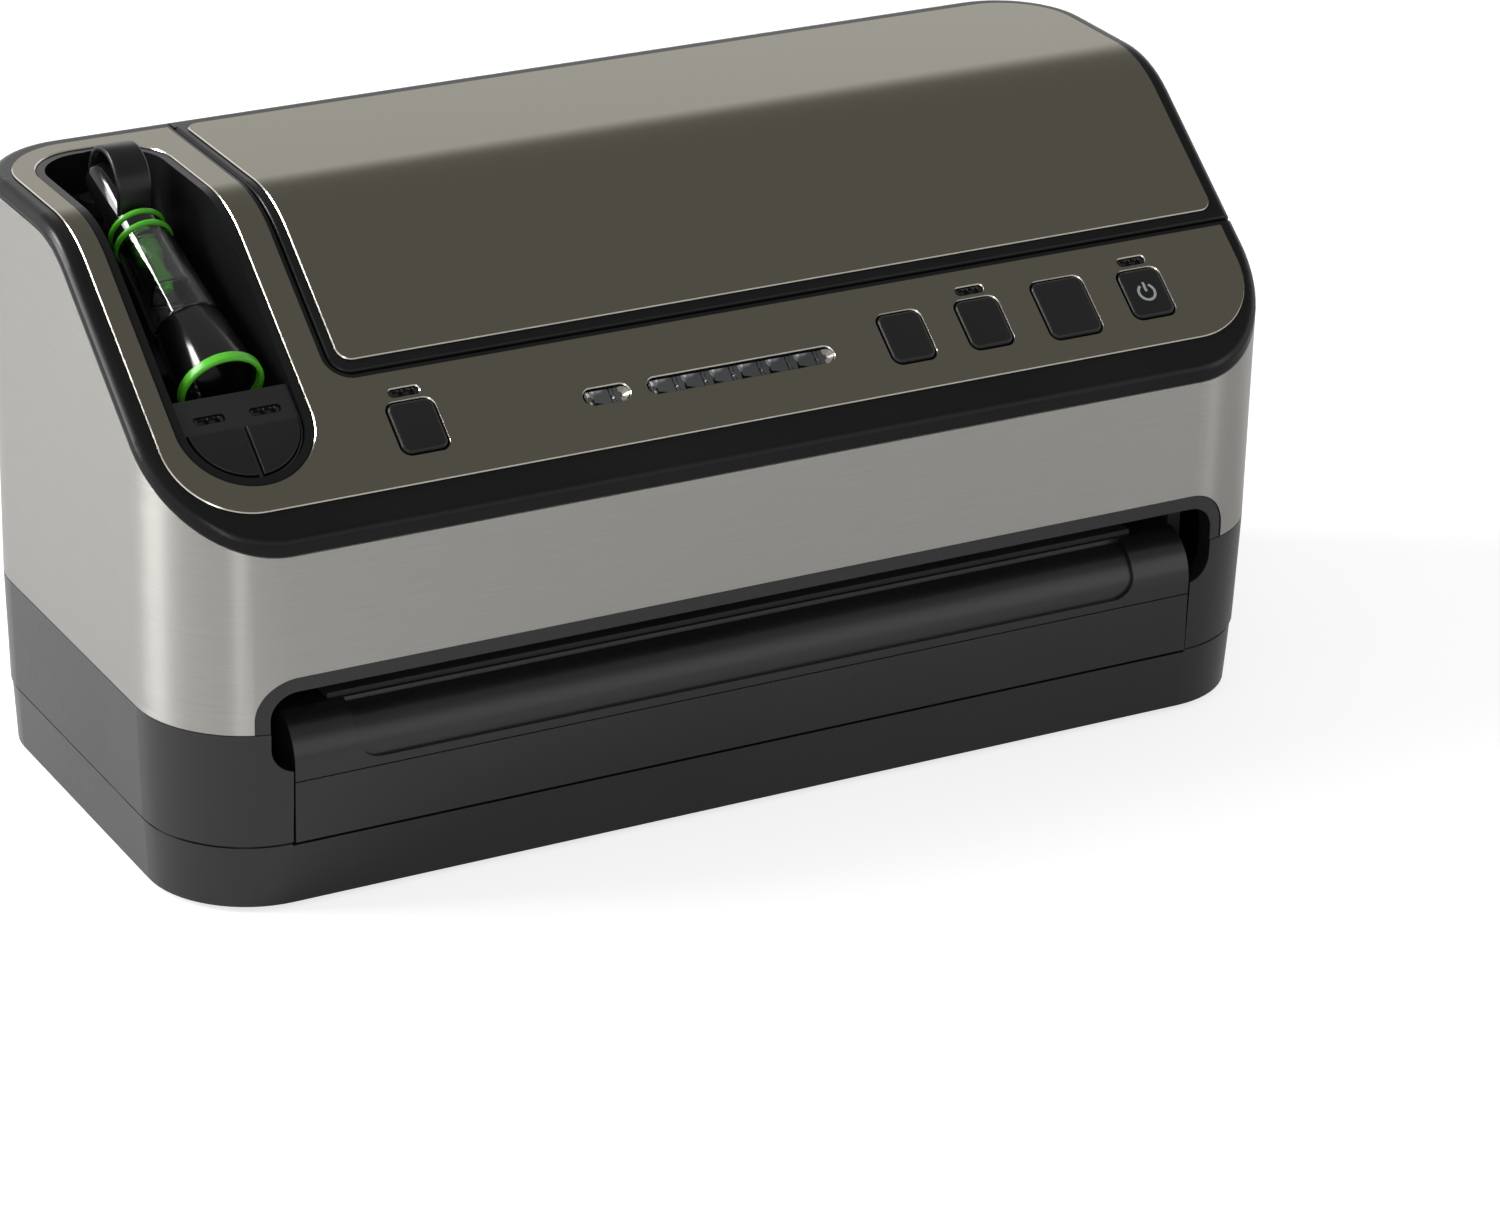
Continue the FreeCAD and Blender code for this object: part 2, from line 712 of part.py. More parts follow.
def base_housing():
    bottom = PAN_TOP + SEAM
    top = STEEL_BOTTOM - FIT
    shell = drafted(BASE_DRAFT, 0, bottom, top).cut(drafted(BASE_DRAFT + WALL, WALL, bottom, top))
    lip_inset = STEEL + FIT
    lip_low = STEEL_BOTTOM - LIP_HEIGHT
    lip = plan(lip_inset, lip_low, STEEL_BOTTOM + LIP_HEIGHT)
    lip = lip.cut(plan(lip_inset + LIP_WALL, lip_low, STEEL_BOTTOM + LIP_HEIGHT))
    frame = slot_prism(FRAME_BORDER - FIT, 0, FRONT_CORNER, SLOT_BOTTOM)
    frame = frame.common(plan(FRAME_SETBACK, 0, HEIGHT)).cut(plan(FRAME_SETBACK + FRAME_PLATE, 0, HEIGHT))
    tunnel = slot_prism(TUNNEL_WALL, 0, TUNNEL_DEPTH, SLOT_BOTTOM).common(plan(FRAME_SETBACK, 0, HEIGHT))
    body = shell.fuse([lip, frame, tunnel])
    body = body.cut(slot_prism(0, -DEPTH, BRACKET_FRONT, SLOT_BOTTOM))
    half = TRAY_HALF + TRAY_SIDE_GAP
    doorway = (FRONT - WALL, FRONT + BRACKET_FRONT)
    body = body.cut(block((-half, half), doorway, (0, SLOT_BOTTOM + SLOT_ROUND)))
    return body.removeSplitter()


def steel_wrap():
    top = under_top(DECK_UNDER + SEAM)
    wrap = plan(0, STEEL_BOTTOM, HEIGHT).cut(plan(STEEL, STEEL_BOTTOM, HEIGHT)).common(top)
    wrap = wrap.cut(slot_prism(FRAME_BORDER, -FIT, BRACKET_FRONT, 0))
    window = REAR_HALF + FIT
    wrap = wrap.cut(block((-window, window), (BACK - BACK_CORNER, BACK), (0, HEIGHT)))
    return wrap.cut(hinge_sweep()).removeSplitter()


def rear_cover():
    bottom = STEEL_BOTTOM + FIT
    above_lip = STEEL_BOTTOM + LIP_HEIGHT + FIT
    behind = (BACK - BACK_CORNER, BACK)
    panel = plan(0, bottom, HEIGHT).cut(plan(STEEL, bottom, HEIGHT))
    panel = panel.common(block((-REAR_HALF, REAR_HALF), behind, (bottom, HEIGHT)))
    wide = REAR_HALF + REAR_OVERLAP
    backing = plan(STEEL, above_lip, HEIGHT).cut(plan(REAR_PLATE, above_lip, HEIGHT))
    backing = backing.common(block((-wide, wide), behind, (above_lip, HEIGHT)))
    cover = panel.fuse(backing).common(under_top(DECK_UNDER + SEAM))
    for row in range(VENT_ROWS):
        low = VENT_Z + row * VENT_ROW_PITCH
        for i in range(VENT_COUNT):
            x = VENT_X + (i - (VENT_COUNT - 1) / 2) * VENT_PITCH
            half = VENT_WIDTH / 2
            cover = cover.cut(block((x - half, x + half), behind, (low, low + VENT_HEIGHT)))
    hole = rod(CORD_BUSH, vec(CORD_X, BACK - BACK_CORNER, CORD_Z), vec(CORD_X, BACK, CORD_Z))
    return cover.cut(hole).cut(hinge_sweep()).removeSplitter()


def cord_gland():
    outer_end = BACK - CORD_SETBACK
    inner_end = outer_end - CORD_LENGTH
    flange_start = BACK - REAR_PLATE - CORD_FLANGE_THICK
    bush = rod(CORD_BUSH, vec(CORD_X, inner_end, CORD_Z), vec(CORD_X, outer_end, CORD_Z))
    flange = rod(CORD_FLANGE, vec(CORD_X, flange_start, CORD_Z), vec(CORD_X, BACK - REAR_PLATE, CORD_Z))
    bore = rod(CORD_BORE, vec(CORD_X, inner_end, CORD_Z), vec(CORD_X, outer_end, CORD_Z))
    return bush.fuse(flange).cut(bore).removeSplitter()


def rounded_top():
    """The whole body under the skin, with the rim's round on its upper edge."""
    body = plan(0, STEEL_BOTTOM, 2 * HEIGHT).common(under_top(SKIN))
    return body.makeFillet(RIM_ROUND, top_edges(body))


def fascia_holes(low, high, gap):
    """Openings through the fascia and deck for the buttons and lenses."""
    holes = []
    for name, x, width, length in FASCIA_BUTTONS:
        grown = 2 * (BUTTON_GAP + gap)
        holes.append(
            slope_pad(x, BUTTON_ROW_T, width + grown, length + grown, BUTTON_ROUND + grown / 2, low, high)
        )
    grown = 2 * (LENS_GAP + gap)
    for x, t, length, width in lens_spots():
        holes.append(slope_pad(x, t, length + grown, width + grown, (width + grown) / 2, low, high))
    return holes


def lens_spots():
    spots = [(x, INDICATOR_T, INDICATOR_LENGTH, INDICATOR_WIDTH) for x in INDICATOR_SPOTS]
    spots.append((CLEAN_LENS_X, LENS_T, CLEAN_LENS_LENGTH, LENS_WIDTH))
    spots.append((PROGRESS_LENS_X, LENS_T, PROGRESS_LENS_LENGTH, LENS_WIDTH))
    return spots


def top_deck():
    deck = rounded_top().cut(under_top(DECK_UNDER))
    inset = STEEL + FIT
    skirt = plan(inset, STEEL_BOTTOM, HEIGHT).cut(plan(inset + LIP_WALL, STEEL_BOTTOM, HEIGHT))
    skirt = skirt.common(layer(DECK_UNDER, DECK_UNDER + LIP_HEIGHT))
    skirt = skirt.cut(block((LEFT, RIGHT), (BACK - BACK_CORNER, BACK), (0, HEIGHT)))
    deck = deck.fuse(skirt)
    for x in POST_SPOTS:
        post = on_slope(rod(POST_RADIUS, vec(x, -POST_T, -BOARD_DROP), vec(x, -POST_T, -DECK_UNDER)))
        deck = deck.fuse(post)
    deck = deck.cut(lid_zone(LID_GAP)).cut(bay_zone(0))
    return deck.cut(fascia_holes(-DECK_UNDER - LIP_HEIGHT, 0, 0)).removeSplitter()


def skin_sheet():
    return layer(0, SKIN)


def control_fascia():
    side = RIGHT - SKIN_SIDE
    corners = [(-side, SKIN_FRONT_T), (side, SKIN_FRONT_T), (side, -REACH), (-side, -REACH)]
    front = slope_prism(corners, [SKIN_FRONT_ROUND, SKIN_FRONT_ROUND, 0, 0], -REACH, REACH)
    back = BACK - SKIN_BACK
    back_round = BACK_CORNER - SKIN_SIDE
    rear = prism(
        [(-side, -REACH), (side, -REACH), (side, back), (-side, back)],
        [0, 0, back_round, back_round], 0, 2 * HEIGHT,
    )
    skin = skin_sheet().common(front).common(rear)
    skin = skin.cut(lid_zone(LID_GAP + SKIN_FIXED_MARGIN)).cut(bay_zone(0))
    skin = skin.cut(fascia_holes(-DECK_UNDER, BUTTON_PROUD, 0)).removeSplitter()
    return skin.makeChamfer(SKIN_CHAMFER, top_edges(skin))


def lid_skin():
    x = LID_SPLIT_X + SKIN_LID_MARGIN_X
    t = LID_SPLIT_T - SKIN_LID_MARGIN_T
    side = RIGHT - SKIN_SIDE
    corners = [(x, t), (side, t), (side, -REACH), (x, -REACH)]
    front = slope_prism(corners, [SKIN_LID_ROUND, SKIN_LID_ROUND, 0, 0], -REACH, REACH)
    back = BACK - SKIN_BACK
    rear = prism(
        [(x, -REACH), (side, -REACH), (side, back), (x, back)],
        [0, 0, BACK_CORNER - SKIN_SIDE, SKIN_LID_ROUND], 0, 2 * HEIGHT,
    )
    skin = skin_sheet().common(front).common(rear).removeSplitter()
    return skin.makeChamfer(SKIN_CHAMFER, top_edges(skin))


def edges_on(shape, *surfaces):
    """Edges of a shape whose middles lie on every one of the given surfaces."""
    found = []
    for edge in shape.Edges:
        middle = Part.Vertex(edge.valueAt((edge.FirstParameter + edge.LastParameter) / 2))
        if all(middle.distToShape(surface)[0] < ON_SURFACE for surface in surfaces):
            found.append(edge)
    return found


def lid_shell():
    plate = rounded_top().cut(under_top(DECK_UNDER)).common(lid_zone(0))
    split = Part.makeShell(lid_zone(0).Faces)
    face = Part.makeShell(under_top(SKIN).Faces)
    plate = plate.makeFillet(LID_EDGE_ROUND, edges_on(plate, split, face))
    left_end = vec(LID_SPLIT_X, HINGE_Y, HINGE_Z)
    right_end = vec(RIGHT, HINGE_Y, HINGE_Z)
    barrel = rod(HINGE_RADIUS, left_end, right_end)
    barrel = barrel.common(plan(0, 0, HEIGHT)).common(under_top(SKIN + BARREL_WALL))
    hollow = rod(HINGE_RADIUS - BARREL_WALL, left_end, right_end)
    for x in KNUCKLE_SPOTS:
        reach = KNUCKLE_WIDTH / 2 + BARREL_END_BLOCK
        hollow = hollow.cut(block((x - reach, x + reach), (FRONT, BACK), (0, HEIGHT)))
    hollow = hollow.common(block((LEFT, RIGHT - BACK_CORNER), (FRONT, BACK), (0, HEIGHT)))
    skirt = plan(LID_SKIRT_INSET, STEEL_BOTTOM, HEIGHT)
    skirt = skirt.cut(plan(LID_SKIRT_INSET + LID_SKIRT, STEEL_BOTTOM, HEIGHT))
    skirt = skirt.common(layer(DECK_UNDER, DECK_UNDER + LID_SKIRT_DEPTH)).common(lid_zone(-LID_SKIRT))
    skirt = skirt.common(block((0, RIGHT), (FRONT, HINGE_Y - HINGE_SWEEP - BACK_CORNER), (0, HEIGHT)))
    lip = rounded_top().common(block((LID_SPLIT_X, RIGHT), (HINGE_Y, BACK), (HINGE_Z, HEIGHT)))
    lid = plate.fuse([barrel, lip, skirt]).cut(hollow)
    for x in KNUCKLE_SPOTS:
        half = KNUCKLE_WIDTH / 2 + KNUCKLE_SIDE_GAP
        notch = block((x - half, x + half), (HINGE_Y - HINGE_SWEEP, BACK), (0, HEIGHT - DECK_UNDER))
        lid = lid.cut(notch)
        pin = HINGE_PIN_LENGTH / 2 + FIT
        bore = rod(HINGE_PIN + RUNNING, vec(x - pin, HINGE_Y, HINGE_Z), vec(x + pin, HINGE_Y, HINGE_Z))
        lid = lid.cut(bore)
    return lid.removeSplitter()


def hinge_brackets():
    brackets = []
    inner_face = BACK - REAR_PLATE
    for x in KNUCKLE_SPOTS:
        wide = (x - KNUCKLE_WIDTH / 2, x + KNUCKLE_WIDTH / 2)
        low = HINGE_Z - KNUCKLE_LEG_DROP
        knuckle = rod(KNUCKLE_RADIUS, vec(wide[0], HINGE_Y, HINGE_Z), vec(wide[1], HINGE_Y, HINGE_Z))
        leg = block(wide, (HINGE_Y - KNUCKLE_LEG_FRONT, HINGE_Y + KNUCKLE_LEG_BACK), (low, HINGE_Z))
        foot = block(wide, (HINGE_Y, inner_face), (low, low + KNUCKLE_FOOT_HEIGHT))
        bracket = knuckle.fuse([leg, foot])
        bore = rod(HINGE_PIN, vec(wide[0], HINGE_Y, HINGE_Z), vec(wide[1], HINGE_Y, HINGE_Z))
        brackets.append(bracket.cut(bore).removeSplitter())
    return Part.makeCompound(brackets)


def lid_hinge_pins():
    half = HINGE_PIN_LENGTH / 2
    pins = []
    for x in KNUCKLE_SPOTS:
        pins.append(rod(HINGE_PIN, vec(x - half, HINGE_Y, HINGE_Z), vec(x + half, HINGE_Y, HINGE_Z)))
    return Part.makeCompound(pins)


# Controls

def fascia_button(x, width, length):
    cap = slope_pad(x, BUTTON_ROW_T, width, length, BUTTON_ROUND, -DECK_UNDER, BUTTON_PROUD)
    cap = cap.makeFillet(BUTTON_EDGE, top_edges(cap))
    stem = slope_pad(x, BUTTON_ROW_T, SWITCH_SIZE, SWITCH_SIZE, BUTTON_EDGE, -BUTTON_STEM, -DECK_UNDER)
    return cap.fuse(stem).removeSplitter()


def indicator_lenses():
    lenses = []
    for x in INDICATOR_SPOTS:
        lenses.append(lens(x, INDICATOR_T, INDICATOR_LENGTH, INDICATOR_WIDTH))
    for side in (-1, 1):
        x = BAY_MIDDLE + side * BAY_INDICATOR_OFFSET
        body = slope_pad(
            x, BAY_INDICATOR_T, INDICATOR_LENGTH, INDICATOR_WIDTH, INDICATOR_WIDTH / 2,
            -PANEL_DROP - PANEL_PLATE, -PANEL_DROP + LENS_PROUD,
        )
        lenses.append(body)
    return Part.makeCompound(lenses)


def lens(x, t, length, width):
    return slope_pad(x, t, length, width, width / 2, -DECK_UNDER, LENS_PROUD)


def celled_lens(x, length, cells):
    """Clear bar whose top is sunk between ribs into small windows."""
    body = lens(x, LENS_T, length, LENS_WIDTH)
    pitch = (length - LENS_WIDTH) / cells
    for i in range(cells):
        middle = x + (i - (cells - 1) / 2) * pitch
        cell = slope_pad(
            middle, LENS_T, pitch - LENS_RIB, LENS_WIDTH - 2 * LENS_RIB, LENS_RIB,
            LENS_PROUD - LENS_CELL_DEPTH, LENS_PROUD,
        )
        body = body.cut(cell)
    return body


def control_board():
    board = slope_block(BOARD_X, BOARD_T, (-BOARD_DROP - BOARD_THICK, -BOARD_DROP))
    top = -BUTTON_STEM - BUTTON_TRAVEL - SWITCH_GAP
    for name, x, width, length in FASCIA_BUTTONS:
        switch = slope_pad(x, BUTTON_ROW_T, SWITCH_SIZE, SWITCH_SIZE, BUTTON_EDGE, -BOARD_DROP, top)
        board = board.fuse(switch)
    return board.removeSplitter()


# Accessory bay

def accessory_bay():
    outer = bay_zone(-FIT).common(under_top(BAY_LIP_DROP)).common(over_bay_floor(BAY_FLOOR))
    hollow = bay_zone(-BAY_LIP).common(over_bay_floor(0))
    gland = hand_gland_axis()
    hole = rod(GLAND_RADIUS, gland - vec(0, 0, HEIGHT / 2), gland + vec(0, 0, HEIGHT / 2))
    return outer.cut(hollow).cut(hole).removeSplitter()


def hand_gland_axis():
    """Point on the bay floor where the handheld's hose comes up."""
    drop = (MOUTH_RADIUS + RING_PROUD + HAND_REST_GAP) / math.cos(HAND_RISE)
    rise = (ACCESSORY_HOSE_Y - HAND_Y) * math.tan(HAND_RISE)
    return vec(HAND_X, ACCESSORY_HOSE_Y, HAND_Z + rise - drop)


def hose_gland():
    middle = hand_gland_axis()
    top = middle + vec(0, 0, GLAND_PROUD)
    bottom = middle - vec(0, 0, GLAND_TAIL)
    return tube(GLAND_RADIUS, HOSE_RADIUS + RUNNING, bottom, top)


def bay_inside(grow):
    return bay_zone(-BAY_LIP - FIT + grow)


def bay_button_zone(side, grow):
    """Half of the bay's round end, on one side of the dividing rib."""
    half = BAY_BUTTON_SPLIT / 2 - grow
    if side < 0:
        x = (-REACH, BAY_MIDDLE - half)
    else:
        x = (BAY_MIDDLE + half, REACH)
    zone = slope_block(x, (BAY_BUTTON_T - grow, REACH), (-REACH, REACH))
    return bay_inside(grow - BAY_BUTTON_MARGIN).common(zone)


def bay_panel():
    beyond = slope_block((-REACH, REACH), (PANEL_T, REACH), (-REACH, REACH))
    plate = bay_inside(0).common(beyond).common(layer(PANEL_DROP, PANEL_DROP + PANEL_PLATE))
    strip = slope_block((-REACH, REACH), (PANEL_T, PANEL_T + PANEL_WALL), (-REACH, REACH))
    wall = bay_inside(0).common(strip).common(under_top(PANEL_DROP)).common(over_bay_floor(0))
    panel = plate.fuse(wall)
    for side in (-1, 1):
        panel = panel.cut(bay_button_zone(side, BAY_BUTTON_GAP))
        panel = panel.cut(
            slope_pad(
                BAY_MIDDLE + side * BAY_INDICATOR_OFFSET, BAY_INDICATOR_T,
                INDICATOR_LENGTH + 2 * LENS_GAP, INDICATOR_WIDTH + 2 * LENS_GAP,
                INDICATOR_WIDTH / 2, -REACH, REACH,
            )
        )
    return panel.removeSplitter()


def bay_button(side):
    top = PANEL_DROP - BAY_BUTTON_PROUD
    return bay_button_zone(side, 0).common(layer(top, BAY_BUTTON_STEM)).removeSplitter()


# Handheld sealer

def reservoir_nozzle():
    start = MOUTH_RING_WIDTH
    end = NOZZLE_LENGTH
    outer = hand_cone(start, end, hand_radius(start), hand_radius(end))
    inner = hand_cone(start, end, hand_radius(start) - CUP_WALL, hand_radius(end) - CUP_WALL)
    return outer.cut(inner)


def reservoir_cup():
    start = NOZZLE_LENGTH
    end = HAND_LENGTH - NECK_RING_PITCH - NECK_RING_WIDTH
    outer = hand_cone(start, end, hand_radius(start), hand_radius(end))
    top = end - CUP_WALL
    inner = hand_cone(start, top, hand_radius(start) - CUP_WALL, hand_radius(top) - CUP_WALL)
    hole = hand_cone(top, end, VALVE_RADIUS, VALVE_RADIUS)
    return outer.cut(inner).cut(hole)


def nozzle_ring():
    outer = hand_cone(0, MOUTH_RING_WIDTH, MOUTH_RADIUS + RING_PROUD, MOUTH_RADIUS + RING_PROUD)
    outer = outer.makeFillet(RING_PROUD, outer.Edges[0:1] + outer.Edges[2:3])
    bore = MOUTH_RADIUS + RING_PROUD - MOUTH_RING_WALL
    return outer.cut(hand_cone(0, MOUTH_RING_WIDTH, bore, bore))


def neck_rings():
    rings = []
    for start in (HAND_LENGTH - NECK_RING_PITCH - NECK_RING_WIDTH, HAND_LENGTH - NECK_RING_WIDTH):
        end = start + NECK_RING_WIDTH
        radius = hand_radius(start) + RING_PROUD
        ring = hand_cone(start, end, radius, radius)
        rings.append(ring.cut(hand_cone(start, end, VALVE_RADIUS, VALVE_RADIUS)))
    return Part.makeCompound(rings)


def reservoir_valve():
    end = HAND_LENGTH - NECK_RING_PITCH - NECK_RING_WIDTH
    start = end - VALVE_LENGTH
    stem = hand_cone(start, end, VALVE_RADIUS - CUP_WALL, VALVE_RADIUS - FIT)
    return stem.removeSplitter()


def handheld_handle():
    collar_start = HAND_LENGTH - NECK_RING_PITCH
    collar_radius = hand_radius(collar_start)
    collar = hand_cone(collar_start, HAND_LENGTH - NECK_RING_WIDTH, collar_radius, collar_radius)
    neck = hand_cone(HAND_LENGTH, HAND_LENGTH + HANDLE_NECK_LENGTH, HANDLE_NECK_RADIUS, HANDLE_NECK_RADIUS)
    spine = hand_cone(collar_start, HAND_LENGTH, VALVE_RADIUS, VALVE_RADIUS)
    middle = hand_axis(HAND_LENGTH + LOOP_SETBACK)
    crown = middle + vec(0, 0, LOOP_RISE - LOOP_RADIUS)
    wide = (HAND_X - LOOP_WIDTH / 2, HAND_X + LOOP_WIDTH / 2)
    arch = rod(LOOP_RADIUS, vec(wide[0], crown.y, crown.z), vec(wide[1], crown.y, crown.z))
    legs = block(wide, (crown.y - LOOP_RADIUS, crown.y + LOOP_RADIUS), (middle.z, crown.z))
    inner = LOOP_RADIUS - LOOP_BAND
    gap = rod(inner, vec(wide[0], crown.y, crown.z), vec(wide[1], crown.y, crown.z))
    gap = gap.fuse(block(wide, (crown.y - inner, crown.y + inner), (middle.z, crown.z)))
    loop = arch.fuse(legs).cut(gap)
    return loop.fuse([neck, collar, spine]).removeSplitter()


# Roll bay and cutter

def roll_profile(grow, x):
    """Trough for the roll with the cutter's shelf in front of it, open at the top."""
    normal = vec(0, -math.sin(TILT), math.cos(TILT))
    down = vec(0, -math.cos(TILT), -math.sin(TILT))
    shelf_front = CREST + down * (SHELF_T + grow) - normal * (SHELF_DROP + grow)
    open_front = CREST + down * (SHELF_T + grow) + normal * DEPTH
    wall_y = ROLL_FRONT - grow
    rise = (wall_y - shelf_front.y) * math.tan(TILT)
    radius = ROLL_RADIUS + grow
    ring = [
        vec(x[0], open_front.y, open_front.z),
        vec(x[0], shelf_front.y, shelf_front.z),
        vec(x[0], wall_y, shelf_front.z + rise),
        vec(x[0], wall_y, ROLL_Z),
    ]
    back_top = vec(x[0], ROLL_Y + radius, open_front.z)
    edges = [Part.makeLine(ring[i], ring[i + 1]) for i in range(3)]
    lowest = vec(x[0], ROLL_Y, ROLL_Z - radius)
    back_low = vec(x[0], ROLL_Y + radius, ROLL_Z)
    edges.append(Part.Arc(ring[3], lowest, back_low).toShape())
    edges.append(Part.makeLine(back_low, back_top))
    edges.append(Part.makeLine(back_top, ring[0]))
    return Part.Face(Part.Wire(edges)).extrude(vec(x[1] - x[0], 0, 0))


def roll_bay():
    top = under_top(DECK_UNDER + FLANGE_GAP)
    hollow = roll_profile(0, ROLL_X)
    outer_x = (ROLL_X[0] - ROLL_WALL, ROLL_X[1] + ROLL_WALL)
    tub = roll_profile(ROLL_WALL, outer_x)
    reach_x = (outer_x[0] - FLANGE_REACH, outer_x[1] + FLANGE_REACH)
    flange = layer(DECK_UNDER + FLANGE_GAP, DECK_UNDER + FLANGE_GAP + FLANGE)
    flange = flange.common(slope_block(reach_x, (-REACH, SHELF_T + FLANGE_REACH), (-REACH, REACH)))
    flange = flange.common(block(reach_x, (FRONT, ROLL_Y + ROLL_RADIUS + ROLL_WALL), (0, HEIGHT)))
    tub = tub.common(top).fuse(flange)
    low = ROLL_Z - ROLL_RADIUS
    for x in ROLL_LEG_SPOTS:
        half = ROLL_LEG / 2
        spread = ROLL_RADIUS / 2
        tub = tub.fuse(block((x - half, x + half), (ROLL_Y - spread, ROLL_Y + spread), (CHASSIS_TOP, low)))
    return tub.cut(hollow).removeSplitter()


def rail_x():
    return (ROLL_X[0] + RAIL_END_GAP, ROLL_X[1] - RAIL_END_GAP)


def cutter_rail():
    t = (RAIL_T - RAIL_WIDTH / 2, RAIL_T + RAIL_WIDTH / 2)
    top = -SHELF_DROP + RAIL_HEIGHT
    rail = slope_block(rail_x(), t, (-SHELF_DROP, top))
    groove = (RAIL_T - RAIL_GROOVE / 2, RAIL_T + RAIL_GROOVE / 2)
    return rail.cut(slope_block(rail_x(), groove, (top - BLADE_REACH - SLIDER_GAP, top)))


def slider_x():
    start = rail_x()[0] + RAIL_END_GAP
    return (start, start + SLIDER_LENGTH)


def cutter_slider():
    top = -SHELF_DROP + RAIL_HEIGHT
    half = RAIL_WIDTH / 2 + SLIDER_GAP
    outside = half + SLIDER_WALL
    low = -SHELF_DROP + SLIDER_GAP
    body = slope_pad(
        sum(slider_x()) / 2, RAIL_T, SLIDER_LENGTH, 2 * outside, SLIDER_WALL, low, top + SLIDER_HEIGHT
    )
    body = body.cut(slope_block(slider_x(), (RAIL_T - half, RAIL_T + half), (low, top + SLIDER_GAP)))
    slit = BLADE / 2
    blade_x = blade_span()
    return body.cut(slope_block(blade_x, (RAIL_T - slit, RAIL_T + slit), (low, top + SLIDER_HEIGHT / 2)))


def blade_span():
    middle = sum(slider_x()) / 2
    return (middle - BLADE_LENGTH / 2, middle + BLADE_LENGTH / 2)


def cutter_blade():
    top = -SHELF_DROP + RAIL_HEIGHT
    slit = BLADE / 2
    tall = (top - BLADE_REACH, top + SLIDER_HEIGHT / 2)
    return slope_block(blade_span(), (RAIL_T - slit, RAIL_T + slit), tall)


# Drip tray group

def tray_front():
    near = TRAY_FRONT_SETBACK
    return block(
        (-TRAY_HALF, TRAY_HALF), (FRONT + near, FRONT + near + TRAY_PANEL),
        (TRAY_PANEL_BOTTOM, TRAY_SEAM - SEAM / 2),
    )


def lip_form(inset, x, low):
    """The lip's section: an upright face that rounds back into a level top."""
    near = FRONT + TRAY_FRONT_SETBACK + inset
    flat = FRONT + LIP_FLAT + inset
    back = FRONT + LIP_BACK - inset
    top = LIP_TOP - inset
    nose = LIP_NOSE
    run = flat - near
    rise = top - nose
    radius = (run ** 2 + rise ** 2) / (2 * run)
    half_turn = math.atan2(rise, radius - run) / 2
    middle = vec(x[0], near + radius - radius * math.cos(half_turn), nose + radius * math.sin(half_turn))
    section = [(near, low), (near, nose), (flat, top), (back, top), (back, low)]
    points = [vec(x[0], y, z) for y, z in section]
    ring = [
        Part.makeLine(points[0], points[1]),
        Part.Arc(points[1], middle, points[2]).toShape(),
        Part.makeLine(points[2], points[3]),
        Part.makeLine(points[3], points[4]),
        Part.makeLine(points[4], points[0]),
    ]
    return Part.Face(Part.Wire(ring)).extrude(vec(x[1] - x[0], 0, 0))


def tray_lip():
    low = TRAY_SEAM + SEAM / 2
    full = (-TRAY_HALF, TRAY_HALF)
    inside = (-TRAY_HALF + LIP_SHELL, TRAY_HALF - LIP_SHELL)
    lip = lip_form(0, full, low).cut(lip_form(LIP_SHELL, inside, low))
    high = LIP_TOP + RAMP_ROUND
    ramp = front_prism(
        [(-RAMP_HALF, RAMP_FOOT), (RAMP_HALF, RAMP_FOOT), (RAMP_HALF, high), (-RAMP_HALF, high)],
        [RAMP_ROUND] * 4, -RAMP_DEPTH, LIP_FLAT,
    )
    return lip.cut(ramp.cut(lip_form(RAMP_DEPTH, full, low))).removeSplitter()


def basin_corners(grow):
    front = FRONT + BASIN_FRONT - grow
    back = FRONT + BASIN_BACK + grow
    half = BASIN_HALF + grow
    return [(-half, front), (half, front), (half, back), (-half, back)]


def basin(grow, bottom, top):
    return prism(basin_corners(grow), [BASIN_ROUND + grow] * 4, bottom, top)


def drip_tray():
    floor = TRAY_BOTTOM + BASIN_WALL
    body = basin(0, TRAY_BOTTOM, LIP_TOP)
    hollow = basin(-BASIN_WALL - SEAL_WIDTH, floor, LIP_TOP)
    apron_y = (FRONT + TRAY_FRONT_SETBACK + TRAY_PANEL, FRONT + BASIN_FRONT + BASIN_ROUND)
    apron = block((-TRAY_HALF, TRAY_HALF), apron_y, (TRAY_BOTTOM, floor))
    return body.fuse(apron).cut(hollow).removeSplitter()


def lower_gasket():
    rim = SEAL_WIDTH + BASIN_WALL
    ring = basin(-BASIN_WALL / 2, LIP_TOP, LOWER_SEAL_TOP)
    return ring.cut(basin(-rim + BASIN_WALL / 2, LIP_TOP, LOWER_SEAL_TOP))


def strip_block(low, high):
    """Bar along the welding line."""
    return block((-STRIP_HALF, STRIP_HALF), (FRONT + STRIP_FRONT, FRONT + STRIP_BACK), (low, high))


def seal_strip():
    return strip_block(LIP_TOP, LIP_TOP + STRIP_HEIGHT)


# Upper jaw and drive

